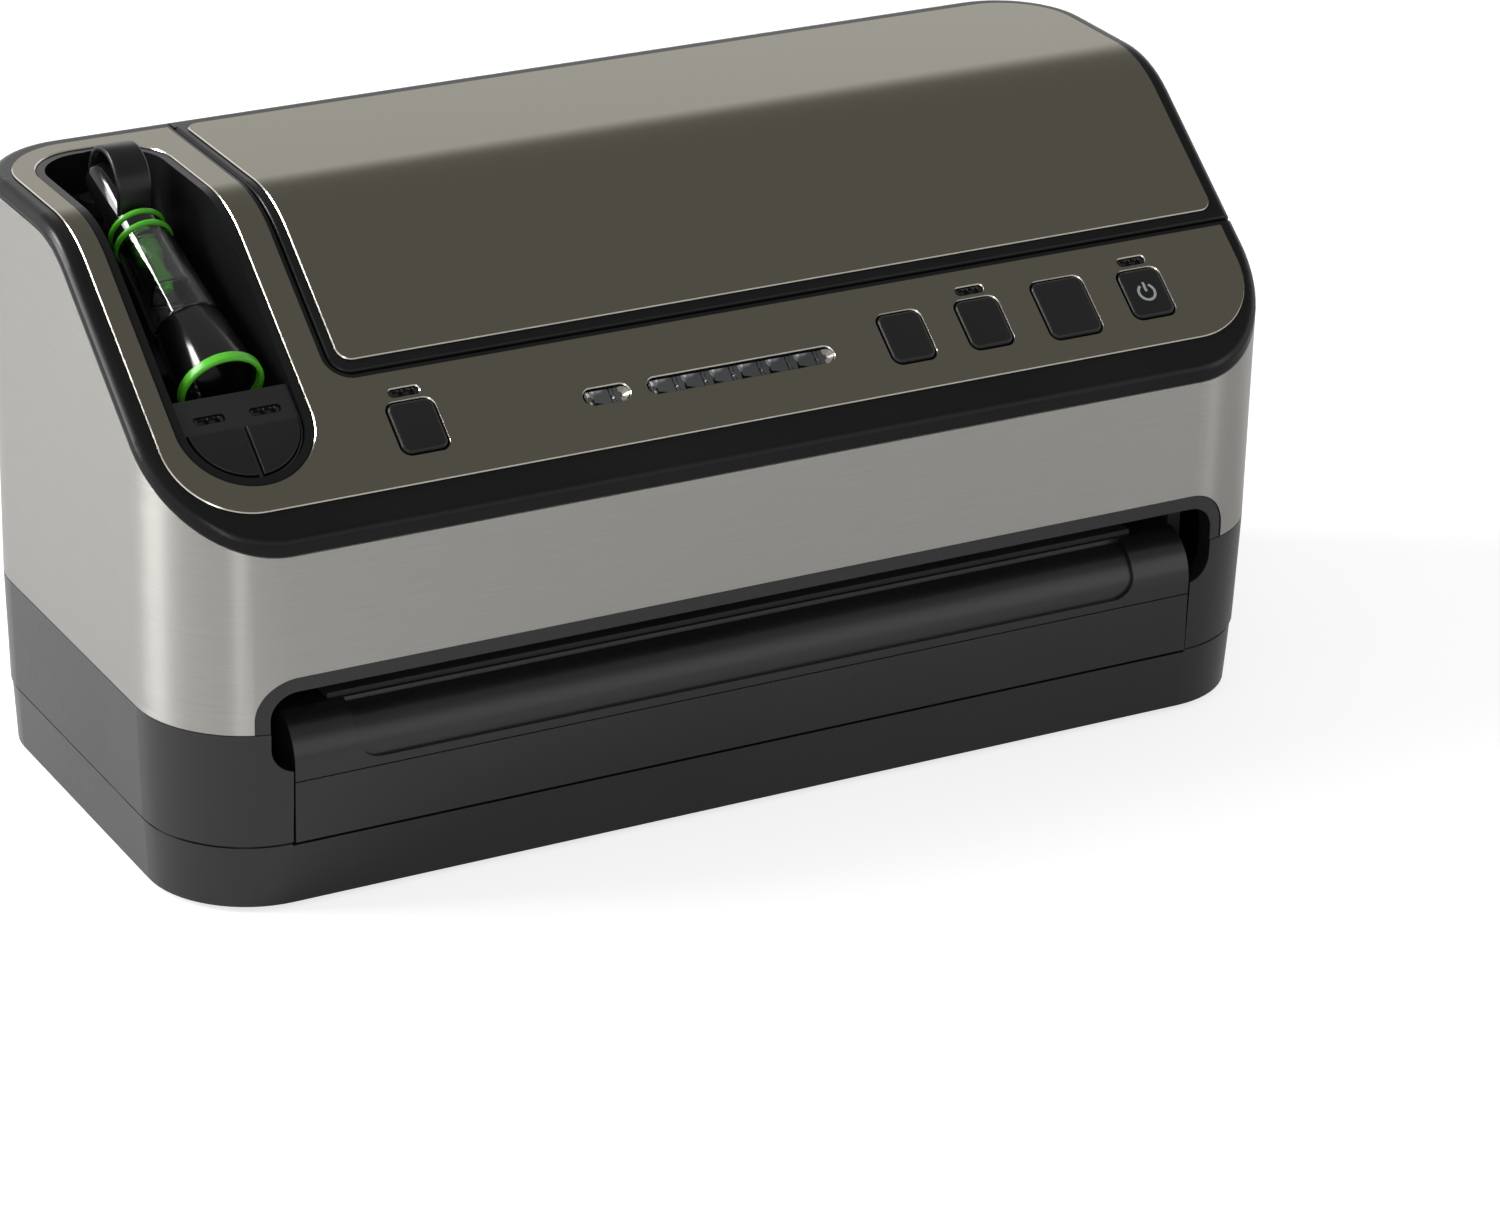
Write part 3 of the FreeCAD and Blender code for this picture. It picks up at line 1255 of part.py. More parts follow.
def upper_jaw():
    front = FRONT + JAW_FRONT
    back = FRONT + JAW_BACK
    jaw = block((-JAW_HALF, JAW_HALF), (front, back), (JAW_BOTTOM, JAW_TOP))
    pocket = basin(-BASIN_WALL - SEAL_WIDTH, JAW_BOTTOM, JAW_BOTTOM + JAW_POCKET)
    jaw = jaw.cut(pocket)
    lift = vec(0, DRIVE_Y, 0)
    boss = rod(NUT_RADIUS + JAW_WALL, lift + vec(0, 0, JAW_BOTTOM), lift + vec(0, 0, JAW_TOP))
    jaw = jaw.fuse(boss).cut(rod(NUT_RADIUS, lift + vec(0, 0, JAW_BOTTOM), lift + vec(0, 0, JAW_TOP)))
    for x in (-GUIDE_SPREAD, GUIDE_SPREAD):
        foot = vec(x, DRIVE_Y, JAW_BOTTOM)
        crown = vec(x, DRIVE_Y, JAW_TOP)
        jaw = jaw.fuse(rod(GUIDE_RADIUS + JAW_WALL, foot, crown))
        jaw = jaw.cut(rod(GUIDE_RADIUS + RUNNING, foot, crown))
    return jaw.removeSplitter()


def jaw_nut():
    foot = vec(0, DRIVE_Y, JAW_BOTTOM)
    crown = vec(0, DRIVE_Y, JAW_TOP)
    flange_top = crown + vec(0, 0, NUT_FLANGE_HEIGHT)
    nut = rod(NUT_RADIUS, foot, crown).fuse(rod(NUT_FLANGE, crown, flange_top))
    return nut.cut(rod(SCREW_RADIUS + RUNNING, foot, flange_top)).removeSplitter()


def clamp_screw():
    top = CROSSHEAD_BOTTOM + CROSSHEAD_HEIGHT + CROSSHEAD_HEIGHT
    return rod(SCREW_RADIUS, vec(0, DRIVE_Y, JAW_BOTTOM + FIT), vec(0, DRIVE_Y, top))


def upper_gasket():
    rim = SEAL_WIDTH + BASIN_WALL
    ring = basin(-BASIN_WALL / 2, UPPER_SEAL_BOTTOM, JAW_BOTTOM)
    return ring.cut(basin(-rim + BASIN_WALL / 2, UPPER_SEAL_BOTTOM, JAW_BOTTOM))


def heating_bar():
    return strip_block(HEATER_BOTTOM, JAW_BOTTOM)


def crosshead():
    half = BRACKET_INNER + BRACKET_PLATE
    deep = (DRIVE_Y - CROSSHEAD_DEPTH / 2, DRIVE_Y + CROSSHEAD_DEPTH / 2)
    top = CROSSHEAD_BOTTOM + CROSSHEAD_HEIGHT
    beam = block((-half, half), deep, (CROSSHEAD_BOTTOM, top))
    beam = beam.cut(rod(BUSH_RADIUS, vec(0, DRIVE_Y, CROSSHEAD_BOTTOM), vec(0, DRIVE_Y, top)))
    for x in (-GUIDE_SPREAD, GUIDE_SPREAD):
        beam = beam.cut(rod(GUIDE_RADIUS, vec(x, DRIVE_Y, CROSSHEAD_BOTTOM), vec(x, DRIVE_Y, top)))
    bore = rod(HOSE_BORE, vec(VACUUM_HOSE_X, DRIVE_Y, CROSSHEAD_BOTTOM), vec(VACUUM_HOSE_X, DRIVE_Y, top))
    return beam.cut(bore)


def screw_bush():
    low = vec(0, DRIVE_Y, CROSSHEAD_BOTTOM)
    return tube(BUSH_RADIUS, SCREW_RADIUS + RUNNING, low, low + vec(0, 0, CROSSHEAD_HEIGHT))


def guide_posts():
    posts = []
    top = CROSSHEAD_BOTTOM + CROSSHEAD_HEIGHT
    for x in (-GUIDE_SPREAD, GUIDE_SPREAD):
        posts.append(rod(GUIDE_RADIUS, vec(x, DRIVE_Y, JAW_BOTTOM + FIT), vec(x, DRIVE_Y, top)))
    return Part.makeCompound(posts)


def clamp_motor():
    low = CROSSHEAD_BOTTOM + CROSSHEAD_HEIGHT
    can = rod(CLAMP_MOTOR_RADIUS, vec(0, DRIVE_Y, low), vec(0, DRIVE_Y, HEIGHT - CLAMP_MOTOR_DROP))
    socket_top = low + CROSSHEAD_HEIGHT + FIT
    socket = rod(SCREW_RADIUS + RUNNING, vec(0, DRIVE_Y, low), vec(0, DRIVE_Y, socket_top))
    return can.cut(socket)


def jaw_brackets():
    brackets = []
    floor = FOOT_HEIGHT + WALL
    deep = (FRONT + BRACKET_FRONT, FRONT + BRACKET_BACK)
    ledge_top = TRAY_BOTTOM - LEDGE_GAP
    for side in (-1, 1):
        inner = side * BRACKET_INNER
        outer = side * (BRACKET_INNER + BRACKET_PLATE)
        plate = block(sorted((inner, outer)), deep, (floor, CROSSHEAD_BOTTOM))
        reach = side * (BRACKET_INNER - LEDGE_REACH)
        ledge = block(sorted((reach, outer)), deep, (ledge_top - LEDGE_HEIGHT, ledge_top))
        brackets.append(plate.fuse(ledge).removeSplitter())
    return Part.makeCompound(brackets)


# Inside on the chassis

def chassis_plate():
    plate = plan(CHASSIS_INSET, CHASSIS_BOTTOM, CHASSIS_TOP)
    plate = plate.common(block((LEFT, RIGHT), (CHASSIS_FRONT, BACK), (0, HEIGHT)))
    return plate


def pump_case():
    body = block(PUMP_X, PUMP_Y, (CHASSIS_TOP, CHASSIS_TOP + PUMP_HEIGHT))
    uprights = [edge for edge in body.Edges if abs(edge.tangentAt(0).z) > UPRIGHT]
    return body.makeFillet(PUMP_ROUND, uprights)


def motor_axis(x):
    return vec(x, MOTOR_Y, CHASSIS_TOP + MOTOR_LIFT)


def pump_motor():
    end = PUMP_X[0] - MOTOR_LENGTH
    can = rod(MOTOR_RADIUS, motor_axis(end), motor_axis(PUMP_X[0]))
    bore = rod(ROTOR_SHAFT + RUNNING, motor_axis(end), motor_axis(end + ROTOR_GRIP + FIT))
    foot = block(
        (end + ROTOR_GRIP, PUMP_X[0]), (MOTOR_Y - MOTOR_RADIUS / 2, MOTOR_Y + MOTOR_RADIUS / 2),
        (CHASSIS_TOP, CHASSIS_TOP + MOTOR_LIFT - MOTOR_RADIUS / 2),
    )
    return can.fuse(foot).cut(bore).removeSplitter()


def pump_rotor():
    end = PUMP_X[0] - MOTOR_LENGTH
    shaft_end = end + ROTOR_GRIP
    shaft = rod(ROTOR_SHAFT, motor_axis(shaft_end), motor_axis(shaft_end - ROTOR_SHAFT_LENGTH))
    fan_start = end - FAN_BLADE
    hub = rod(FAN_HUB, motor_axis(fan_start), motor_axis(fan_start - FAN_WIDTH))
    rotor = shaft.fuse(hub)
    for i in range(FAN_BLADES):
        blade = block((fan_start - FAN_WIDTH, fan_start), (0, FAN_RADIUS), (-FAN_BLADE / 2, FAN_BLADE / 2))
        turn = FreeCAD.Rotation(vec(1, 0, 0), FULL_TURN * i / FAN_BLADES)
        blade.Placement = FreeCAD.Placement(motor_axis(0), turn).multiply(blade.Placement)
        rotor = rotor.fuse(blade)
    return rotor.removeSplitter()


def vacuum_hose():
    start_z = CHASSIS_TOP + VACUUM_HOSE_LIFT
    beam_top = CROSSHEAD_BOTTOM + CROSSHEAD_HEIGHT
    run_z = beam_top + VACUUM_HOSE_TOP
    return hose_tube([
        vec(VACUUM_HOSE_X, PUMP_Y[0], start_z),
        vec(VACUUM_HOSE_X, VACUUM_HOSE_Y, start_z),
        vec(VACUUM_HOSE_X, VACUUM_HOSE_Y, run_z),
        vec(VACUUM_HOSE_X, DRIVE_Y, run_z),
        vec(VACUUM_HOSE_X, DRIVE_Y, beam_top),
    ])


def accessory_hose():
    top = hand_gland_axis() + vec(0, 0, GLAND_PROUD)
    low_z = CHASSIS_TOP + ACCESSORY_HOSE_LIFT
    return hose_tube([
        top,
        vec(HAND_X, ACCESSORY_HOSE_Y, low_z),
        vec(PUMP_X[0], ACCESSORY_HOSE_Y, low_z),
    ])


def power_board():
    low = CHASSIS_TOP + STANDOFF
    board = block(POWER_BOARD_X, POWER_BOARD_Y, (low, low + BOARD_THICK))
    inset = 2 * STANDOFF_RADIUS
    for x in (POWER_BOARD_X[0] + inset, POWER_BOARD_X[1] - inset):
        for y in (POWER_BOARD_Y[0] + inset, POWER_BOARD_Y[1] - inset):
            board = board.fuse(rod(STANDOFF_RADIUS, vec(x, y, CHASSIS_TOP), vec(x, y, low)))
    return board.removeSplitter()


PIECES = {
    "base_pan": base_pan,
    "rubber_feet": rubber_feet,
    "case_screws": case_screws,
    "base_housing": base_housing,
    "steel_wrap": steel_wrap,
    "rear_cover": rear_cover,
    "cord_gland": cord_gland,
    "top_deck": top_deck,
    "control_fascia": control_fascia,
    "lid_shell": lid_shell,
    "lid_skin": lid_skin,
    "hinge_brackets": hinge_brackets,
    "lid_hinge_pins": lid_hinge_pins,
    "indicator_lenses": indicator_lenses,
    "control_board": control_board,
    "accessory_bay": accessory_bay,
    "bay_panel": bay_panel,
    "hose_gland": hose_gland,
    "reservoir_nozzle": reservoir_nozzle,
    "reservoir_cup": reservoir_cup,
    "nozzle_ring": nozzle_ring,
    "neck_rings": neck_rings,
    "reservoir_valve": reservoir_valve,
    "handheld_handle": handheld_handle,
    "roll_bay": roll_bay,
    "cutter_rail": cutter_rail,
    "cutter_slider": cutter_slider,
    "cutter_blade": cutter_blade,
    "tray_front": tray_front,
    "tray_lip": tray_lip,
    "drip_tray": drip_tray,
    "lower_gasket": lower_gasket,
    "seal_strip": seal_strip,
    "upper_jaw": upper_jaw,
    "jaw_nut": jaw_nut,
    "clamp_screw": clamp_screw,
    "upper_gasket": upper_gasket,
    "heating_bar": heating_bar,
    "crosshead": crosshead,
    "screw_bush": screw_bush,
    "guide_posts": guide_posts,
    "clamp_motor": clamp_motor,
    "jaw_brackets": jaw_brackets,
    "chassis_plate": chassis_plate,
    "pump_case": pump_case,
    "pump_motor": pump_motor,
    "pump_rotor": pump_rotor,
    "vacuum_hose": vacuum_hose,
    "accessory_hose": accessory_hose,
    "power_board": power_board,
}


def main():
    os.makedirs("parts", exist_ok=True)
    shapes = {name: make() for name, make in PIECES.items()}
    for name, x, width, length in FASCIA_BUTTONS:
        shapes[name] = fascia_button(x, width, length)
    shapes["accessory_button"] = bay_button(-1)
    shapes["marinate_button"] = bay_button(1)
    shapes["clean_lens"] = celled_lens(CLEAN_LENS_X, CLEAN_LENS_LENGTH, 1)
    shapes["progress_lens"] = celled_lens(PROGRESS_LENS_X, PROGRESS_LENS_LENGTH, LENS_CELL_COUNT)
    for name, shape in shapes.items():
        shape.exportStep(os.path.join("parts", name + ".step"))


main()
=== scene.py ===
import math

import bmesh
import bpy
from mathutils import Matrix, Vector


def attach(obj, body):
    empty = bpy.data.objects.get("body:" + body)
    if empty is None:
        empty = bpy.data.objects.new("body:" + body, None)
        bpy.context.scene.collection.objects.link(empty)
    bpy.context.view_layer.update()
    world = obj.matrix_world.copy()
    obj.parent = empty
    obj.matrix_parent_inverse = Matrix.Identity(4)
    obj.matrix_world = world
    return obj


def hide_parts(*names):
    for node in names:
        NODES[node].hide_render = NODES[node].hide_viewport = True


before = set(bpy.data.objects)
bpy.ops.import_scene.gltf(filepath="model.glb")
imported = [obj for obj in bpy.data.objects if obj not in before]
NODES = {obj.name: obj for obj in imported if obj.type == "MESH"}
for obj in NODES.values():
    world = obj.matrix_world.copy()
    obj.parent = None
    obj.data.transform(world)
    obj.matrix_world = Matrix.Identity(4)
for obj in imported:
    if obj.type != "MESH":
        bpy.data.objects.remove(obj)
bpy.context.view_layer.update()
MM = 0.001
WHITE = (1.0, 1.0, 1.0, 1.0)

# Lengths are in millimetres, down to the camera's

# Top of the casing: a control slope, a bend over the crest, and a flat
SLOPE = math.radians(37.5)
CREST_Y = 9.1
CREST_Z = 205.0
BEND_RADIUS = 43.5
BEND_RUN = BEND_RADIUS * math.tan(SLOPE / 2)
BEND_ARC = BEND_RADIUS * SLOPE
BEND_Y = CREST_Y + BEND_RUN
BEND_Z = CREST_Z - BEND_RADIUS
BEND_CUTS = 28

# Bronze skins; t runs down the slope from the crest
SKIN_THICK = 0.7
SKIN_BEVEL = 0.32
SKIN_SIDE = 198.6
SKIN_BACK_Y = 80.2
SKIN_BACK_ROUND = 25.6
FASCIA_FRONT_T = 112.5
FASCIA_FRONT_ROUND = 27.0
FASCIA_LID_X = -135.3
FASCIA_LID_T = 71.3
FASCIA_LID_ROUND = 9.3
FASCIA_END_ROUND = 0.8
LID_LEFT = -129.8
LID_FRONT_T = 64.8
LID_ROUND = 5.0

# Accessory bay and its two keys, which share its round end
BAY_LEFT = -191.5
BAY_RIGHT = -145.5
BAY_MIDDLE = (BAY_LEFT + BAY_RIGHT) / 2
BAY_FRONT_T = 103.0
BAY_BACK_Y = 73.0
BAY_BACK_ROUND = 20.0
BAY_KEY_RADIUS = 18.7
BAY_KEY_CENTRE_T = 80.0
BAY_KEY_TOP_T = 81.0
BAY_KEY_GAP = 1.0
BAY_KEY_LOW = -7.0
BAY_KEY_HIGH = -1.0
BAY_KEY_BEVEL = 0.6

# Push buttons: x of the middle, width, length
BUTTON_T = 92.4
BUTTONS = {
    "vacuum": (-113.0, 16.0, 18.6),
    "cancel": (65.1, 16.0, 18.6),
    "food": (94.9, 16.0, 18.6),
    "seal": (127.0, 19.6, 22.2),
    "power": (158.5, 16.0, 18.6),
}
BUTTON_ROUND = 3.0
BUTTON_GAP = 0.5
BUTTON_LOW = -5.0
BUTTON_PROUD = 0.7
BUTTON_BEVEL = 1.3

# Printed power sign
MARK_OUTER = 3.5
MARK_INNER = 2.55
MARK_OPENING = math.radians(32)
MARK_BAR_RISE = 2.1
MARK_BAR_WIDTH = 0.95
MARK_BAR_LENGTH = 3.7
MARK_BAR_ROUND = 0.25
MARK_LOW = 0.66
MARK_HIGH = 0.74

# Lenses: x of the middle, length, cells; heights are over the slope
LENS_T = 93.4
LENSES = {"clean_lens": (-46.4, 16.0, 1), "progress_lens": (2.8, 68.0, 6)}
LENS_WIDTH = 5.6
LENS_GAP = 0.3
LENS_LOW = -3.0
LENS_EDGE = -0.1
LENS_DISH = 1.7
INDICATOR_T = 79.3
INDICATORS = (-113.0, 94.9, 158.5)
INDICATOR_LENGTH = 10.0
INDICATOR_WIDTH = 2.4
INDICATOR_CELLS = 2
INDICATOR_TOP = -0.75
INDICATOR_DISH = 0.0
BAY_INDICATOR_T = 76.0
BAY_INDICATOR_SIDE = 9.5
BAY_INDICATOR_DROP = 2.2

# Reflector cells: (place along a cell, depth), and (place across the bar, share of that depth)
FACETS = (
    (0.0, 0.0), (0.14, 1.1), (0.36, 0.95), (0.58, 0.8), (0.66, 0.1),
    (0.72, 1.0), (0.80, 0.1), (0.86, 0.9), (1.0, 0.0),
)
LENS_ROWS = ((0.0, 0.0), (0.3125, 1.0), (0.5, 1.0), (0.6875, 1.0), (1.0, 0.0))
LENS_FLOOR = 0.375
LENS_STEPS = 10

# Handheld sealer, turned about its own axis; distances run from its mouth
HAND_MOUTH = Vector((-167.0, -35.4, 159.4))
HAND_RISE = math.radians(24.3)
HAND_AXIS = Vector((0.0, math.cos(HAND_RISE), math.sin(HAND_RISE)))
HAND_SIDE = Vector((1.0, 0.0, 0.0))
HAND_UP = HAND_SIDE.cross(HAND_AXIS)
HAND_LENGTH = 74.94
HAND_RADIUS = 13.4
HAND_TAPER = 4.7
MOUTH_INNER = 12.5
MOUTH_OUTER = 14.3
MOUTH_EDGE = 0.85
NOZZLE_START = 3.6
NOZZLE_END = 27.5
NOZZLE_GROOVE = 0.25
NOZZLE_GROOVE_WIDTH = 0.7
NOZZLE_SWELL = 0.08
CUP_END = 67.24
CUP_WALL = 1.5
CUP_BORE = 4.6
CUP_LIP = 0.4
CUP_LIP_FOOT = 0.25
CUP_LIP_SINK = 0.05
CUP_LIP_EDGE = 0.3
CUP_LIP_WIDTH = 1.2
CUP_ROUND = 0.5
CUP_SWELL = 0.03
POCKET_CLEARANCE = 0.1
POCKET_BELL = [(44.9, 5.4), (44.6, 5.8), (44.0, 5.8), (44.0, 6.6), (44.6, 6.6), (44.9, 6.2)]
POCKET_TOP_RADII = (5.8, 5.0)
POCKET_SQUARENESS = 6
VALVE_PROFILE = [
    (67.1, 0.0), (67.1, 4.2), (62.5, 4.3), (60.0, 4.1), (58.6, 2.9), (52.0, 2.4),
    (51.6, 3.0), (49.2, 3.1), (48.6, 2.2), (45.9, 1.8), (45.3, 1.2), (45.3, 0.0),
]
NECK_RINGS = (67.24, 72.94)
NECK_RING_WIDTH = 2.0
NECK_RING_DEPTH = 2.2
NECK_RING_EDGE = 0.95
NECK_RING_PROUD = 0.9
COLLAR_PLACE = 69.24
COLLAR_STUB = [(67.3, 0.0), (67.3, 4.4), (69.3, 4.4)]
COLLAR_DROPS = [(69.3, 0.3), (69.6, 0.0), (72.6, 0.2), (72.9, 0.5)]
NECK_PROFILE = [
    (72.9, 7.2), (75.0, 7.2), (75.4, 7.6), (99.6, 7.6),
    (101.4, 7.1), (102.5, 6.0), (102.94, 4.6), (102.94, 0.0),
]
STRAP_CENTRE = Vector((-167.0, 45.11, 202.05))
STRAP_RADIUS = 11.8
STRAP_HALF_WIDTH = 6.0
STRAP_HALF_THICK = 1.2
STRAP_EDGE = 1.0
STRAP_FRONT_ENDS = (-9.0, -4.5)
STRAP_BACK_ENDS = (-2.5, -5.0)
STRAP_STEPS = 40

# Making: a least gap, joining distances, the upward share of an upper bevel's normal, the least sharp edge
HAIR = 0.01
SHEET_WELD = 0.0005
HAND_WELD = 0.002 * MM
BEVEL_LEAST_UP = 0.3
BEVEL_MOST_UP = 0.95
SHARP = math.radians(32)

# Camera, in metres
CAMERA_PLACE = Vector((-0.7984, -1.5020, 0.8159))
CAMERA_AHEAD = Vector((0.44505, 0.79278, -0.41644))
CAMERA_ROLL = math.radians(1.56)
CAMERA_LENS = 131.23
CAMERA_SENSOR = 36.0

# Lamps: place, target, width and height in metres, power in watts
BODY_MIDDLE = (0.0, 0.0, 0.1)
LAMPS = {
    "left_softbox": ((-1.55, 0.75, 1.0), BODY_MIDDLE, (0.9, 1.3), 38.0),
    "front_strip": ((-1.15, -1.85, 0.7), BODY_MIDDLE, (0.4, 1.2), 5.0),
    "right_strip": ((1.3, -1.1, 0.5), BODY_MIDDLE, (0.4, 1.0), 1.6),
    "tube_light": ((-0.745, 0.485, 0.835), (-0.167, 0.0, 0.18), (0.26, 0.16), 3.2),
}

# Sky and floor: the mirrored sky is white up to one height and dims to another
SKY_LIGHT = 0.38
SKY_WHITE_Z = 0.395
SKY_DIM_Z = 0.61
SKY_DIM = (0.30, 0.30, 0.30, 1.0)
FLOOR_HALF = 6.0
FLOOR_COLOUR = (0.55, 0.55, 0.55)
FLOOR_ROUGHNESS = 0.9
FLOOR_GLOW = 0.20
FLOOR_CAMERA_GLOW = 0.54


# Materials

NOISE_LOW = 0.3
NOISE_HIGH = 0.7
SLOW_NOISE = 14.0
MOULDED = {
    "black_plastic": dict(
        dark=(0.011, 0.011, 0.012), light=(0.015, 0.015, 0.016), rough=(0.22, 0.30), Specular_IOR_Level=0.6,
    ),
    "rim_black": dict(
        dark=(0.008, 0.008, 0.0085), light=(0.011, 0.011, 0.0115), rough=(0.22, 0.30),
        grain=1200.0, bump=0.10, Specular_IOR_Level=0.20,
    ),
    "inner_plastic": dict(dark=(0.045, 0.045, 0.047), light=(0.060, 0.060, 0.062), rough=(0.45, 0.60)),
    "gloss_black": dict(
        dark=(0.005, 0.005, 0.005), light=(0.007, 0.007, 0.007), rough=(0.08, 0.14), grain=700.0, bump=0.04,
    ),
    "button_plastic": dict(
        dark=(0.009, 0.009, 0.009), light=(0.012, 0.012, 0.012), rough=(0.32, 0.42),
        grain=2200.0, Specular_IOR_Level=0.34,
    ),
    "rubber": dict(
        dark=(0.016, 0.016, 0.016), light=(0.024, 0.024, 0.024), rough=(0.65, 0.82), grain=1400.0, bump=0.3,
    ),
    "foam_seal": dict(
        dark=(0.030, 0.030, 0.032), light=(0.055, 0.055, 0.058), rough=(0.80, 0.95),
        grain=900.0, bump=0.7, depth=0.0002,
    ),
    "green_plastic": dict(
        dark=(0.085, 0.50, 0.022), light=(0.115, 0.60, 0.035), rough=(0.24, 0.34), grain=900.0, bump=0.06,
    ),
    "circuit_board": dict(
        dark=(0.012, 0.080, 0.035), light=(0.020, 0.120, 0.050), rough=(0.30, 0.45), grain=500.0, bump=0.2,
    ),
    "heater_tape": dict(
        dark=(0.180, 0.085, 0.028), light=(0.240, 0.120, 0.045), rough=(0.40, 0.60), grain=1200.0, bump=0.4,
    ),
    "lens_facets": dict(
        dark=(0.12, 0.125, 0.13), light=(0.24, 0.245, 0.25), rough=(0.06, 0.12),
        grain=900.0, bump=0.1, Metallic=1.0,
    ),
    "lens_dark": dict(
        dark=(0.010, 0.010, 0.011), light=(0.016, 0.016, 0.017), rough=(0.08, 0.16), grain=900.0, bump=0.1,
    ),
    "key_print": dict(
        dark=(0.40, 0.44, 0.43), light=(0.46, 0.50, 0.49), rough=(0.45, 0.55), grain=2000.0, bump=0.1,
    ),
    "clear_lens": dict(
        dark=(0.74, 0.75, 0.75), light=(0.86, 0.87, 0.87), rough=(0.08, 0.18),
        grain=1500.0, bump=0.3, depth=0.0001, Transmission_Weight=0.92, IOR=1.49,
    ),
    "clear_plastic": dict(
        dark=(0.93, 0.94, 0.93), light=(0.97, 0.98, 0.97), rough=(0.02, 0.06),
        grain=300.0, bump=0.02, Transmission_Weight=1.0, IOR=1.46,
    ),
}
BRUSHED = {
    "bronze_skin": dict(
        dark=(0.244, 0.226, 0.177), light=(0.254, 0.235, 0.185), rough=(0.20, 0.24),
        stretch=(900.0, 1500.0, 1500.0), bump=0.015,
    ),
    "bronze_edge": dict(
        dark=(0.64, 0.61, 0.54), light=(0.72, 0.69, 0.62), rough=(0.12, 0.20),
        stretch=(300.0, 300.0, 300.0), bump=0.03,
    ),
    "brushed_steel": dict(
        dark=(0.405, 0.395, 0.370), light=(0.445, 0.435, 0.410), rough=(0.30, 0.36),
        stretch=(45.0, 45.0, 2400.0), bump=0.05, Anisotropic=0.9, Anisotropic_Rotation=0.25,
    ),
    "zinc_steel": dict(
        dark=(0.50, 0.51, 0.52), light=(0.62, 0.63, 0.64), rough=(0.28, 0.42), stretch=(60.0, 60.0, 60.0),
    ),
    "blade_steel": dict(
        dark=(0.62, 0.63, 0.65), light=(0.74, 0.75, 0.77), rough=(0.16, 0.26), stretch=(20.0, 900.0, 900.0),
    ),
    "brass": dict(
        dark=(0.60, 0.44, 0.16), light=(0.72, 0.55, 0.24), rough=(0.22, 0.34), stretch=(90.0, 90.0, 600.0),
    ),
    "pump_alloy": dict(
        dark=(0.42, 0.43, 0.44), light=(0.54, 0.55, 0.56), rough=(0.40, 0.55), stretch=(240.0, 240.0, 240.0),
    ),
}
RIM_NODES = ("top_deck", "lid_shell", "accessory_bay")


def shader_of(material):
    return material.node_tree.nodes["Principled BSDF"]


def new_material(name, colour, roughness, **sockets):
    """Principled material with its constant values on the shader's own sockets."""
    material = bpy.data.materials.new(name)
    material.use_nodes = True
    shader = shader_of(material)
    shader.inputs["Base Color"].default_value = (*colour, 1.0)
    shader.inputs["Roughness"].default_value = roughness
    for socket, value in sockets.items():
        shader.inputs[socket.replace("_", " ")].default_value = value
    return material


def add_node(owner, kind, **values):
    """Adds a node to a material or world; a value is one of its sockets or one of its settings."""
    node = owner.node_tree.nodes.new(kind)
    for name, value in values.items():
        if name in node.inputs:
            node.inputs[name].default_value = value
        else:
            setattr(node, name, value)
    return node


def link(owner, source, output, target, socket):
    owner.node_tree.links.new(source.outputs[output], target.inputs[socket])


def object_noise(material, scale, detail=3.0, stretch=(1.0, 1.0, 1.0)):
    """Noise in object space, so that it stays on the surface."""
    coords = add_node(material, "ShaderNodeTexCoord")
    mapping = add_node(material, "ShaderNodeMapping", Scale=stretch)
    noise = add_node(material, "ShaderNodeTexNoise", Scale=scale, Detail=detail)
    link(material, coords, "Object", mapping, "Vector")
    link(material, mapping, "Vector", noise, "Vector")
    return noise


def vary_roughness(material, noise, low, high):
    spread = add_node(material, "ShaderNodeMapRange")
    spread.inputs["From Min"].default_value = NOISE_LOW
    spread.inputs["From Max"].default_value = NOISE_HIGH
    spread.inputs["To Min"].default_value = low
    spread.inputs["To Max"].default_value = high
    link(material, noise, "Fac", spread, "Value")
    link(material, spread, "Result", shader_of(material), "Roughness")


def vary_colour(material, noise, dark, light):
    ramp = add_node(material, "ShaderNodeValToRGB")
    first, last = ramp.color_ramp.elements
    first.position = NOISE_LOW
    first.color = (*dark, 1.0)
    last.position = NOISE_HIGH
    last.color = (*light, 1.0)
    link(material, noise, "Fac", ramp, "Fac")
    link(material, ramp, "Color", shader_of(material), "Base Color")


def add_bump(material, noise, strength, depth):
    bump = add_node(material, "ShaderNodeBump", Strength=strength, Distance=depth)
    link(material, noise, "Fac", bump, "Height")
    link(material, bump, "Normal", shader_of(material), "Normal")


def moulded(name, dark, light, rough, grain=1600.0, bump=0.25, depth=0.00004, **sockets):
    """Moulded plastic: a fine spark-eroded grain and slow changes of sheen."""
    material = new_material(name, light, rough[1], **sockets)
    fine = object_noise(material, grain)
    slow = object_noise(material, SLOW_NOISE)
    vary_colour(material, slow, dark, light)
    vary_roughness(material, slow, *rough)
    add_bump(material, fine, bump, depth)
    return material


def brushed(name, dark, light, rough, stretch, bump=0.2, depth=0.00003, **sockets):
    """Metal with fine brush lines along the axes whose stretch is small."""
    material = new_material(name, light, rough[1], Metallic=1.0, **sockets)
    lines = object_noise(material, scale=1.0, detail=4.0, stretch=stretch)
    vary_colour(material, lines, dark, light)
    vary_roughness(material, lines, *rough)
    add_bump(material, lines, bump, depth)
    return material


def brush_round(material):
    """Lays the brush lines round the casing, so that highlights spread up and down."""
    around = add_node(material, "ShaderNodeTangent", direction_type="RADIAL", axis="Z")
    link(material, around, "Tangent", shader_of(material), "Tangent")


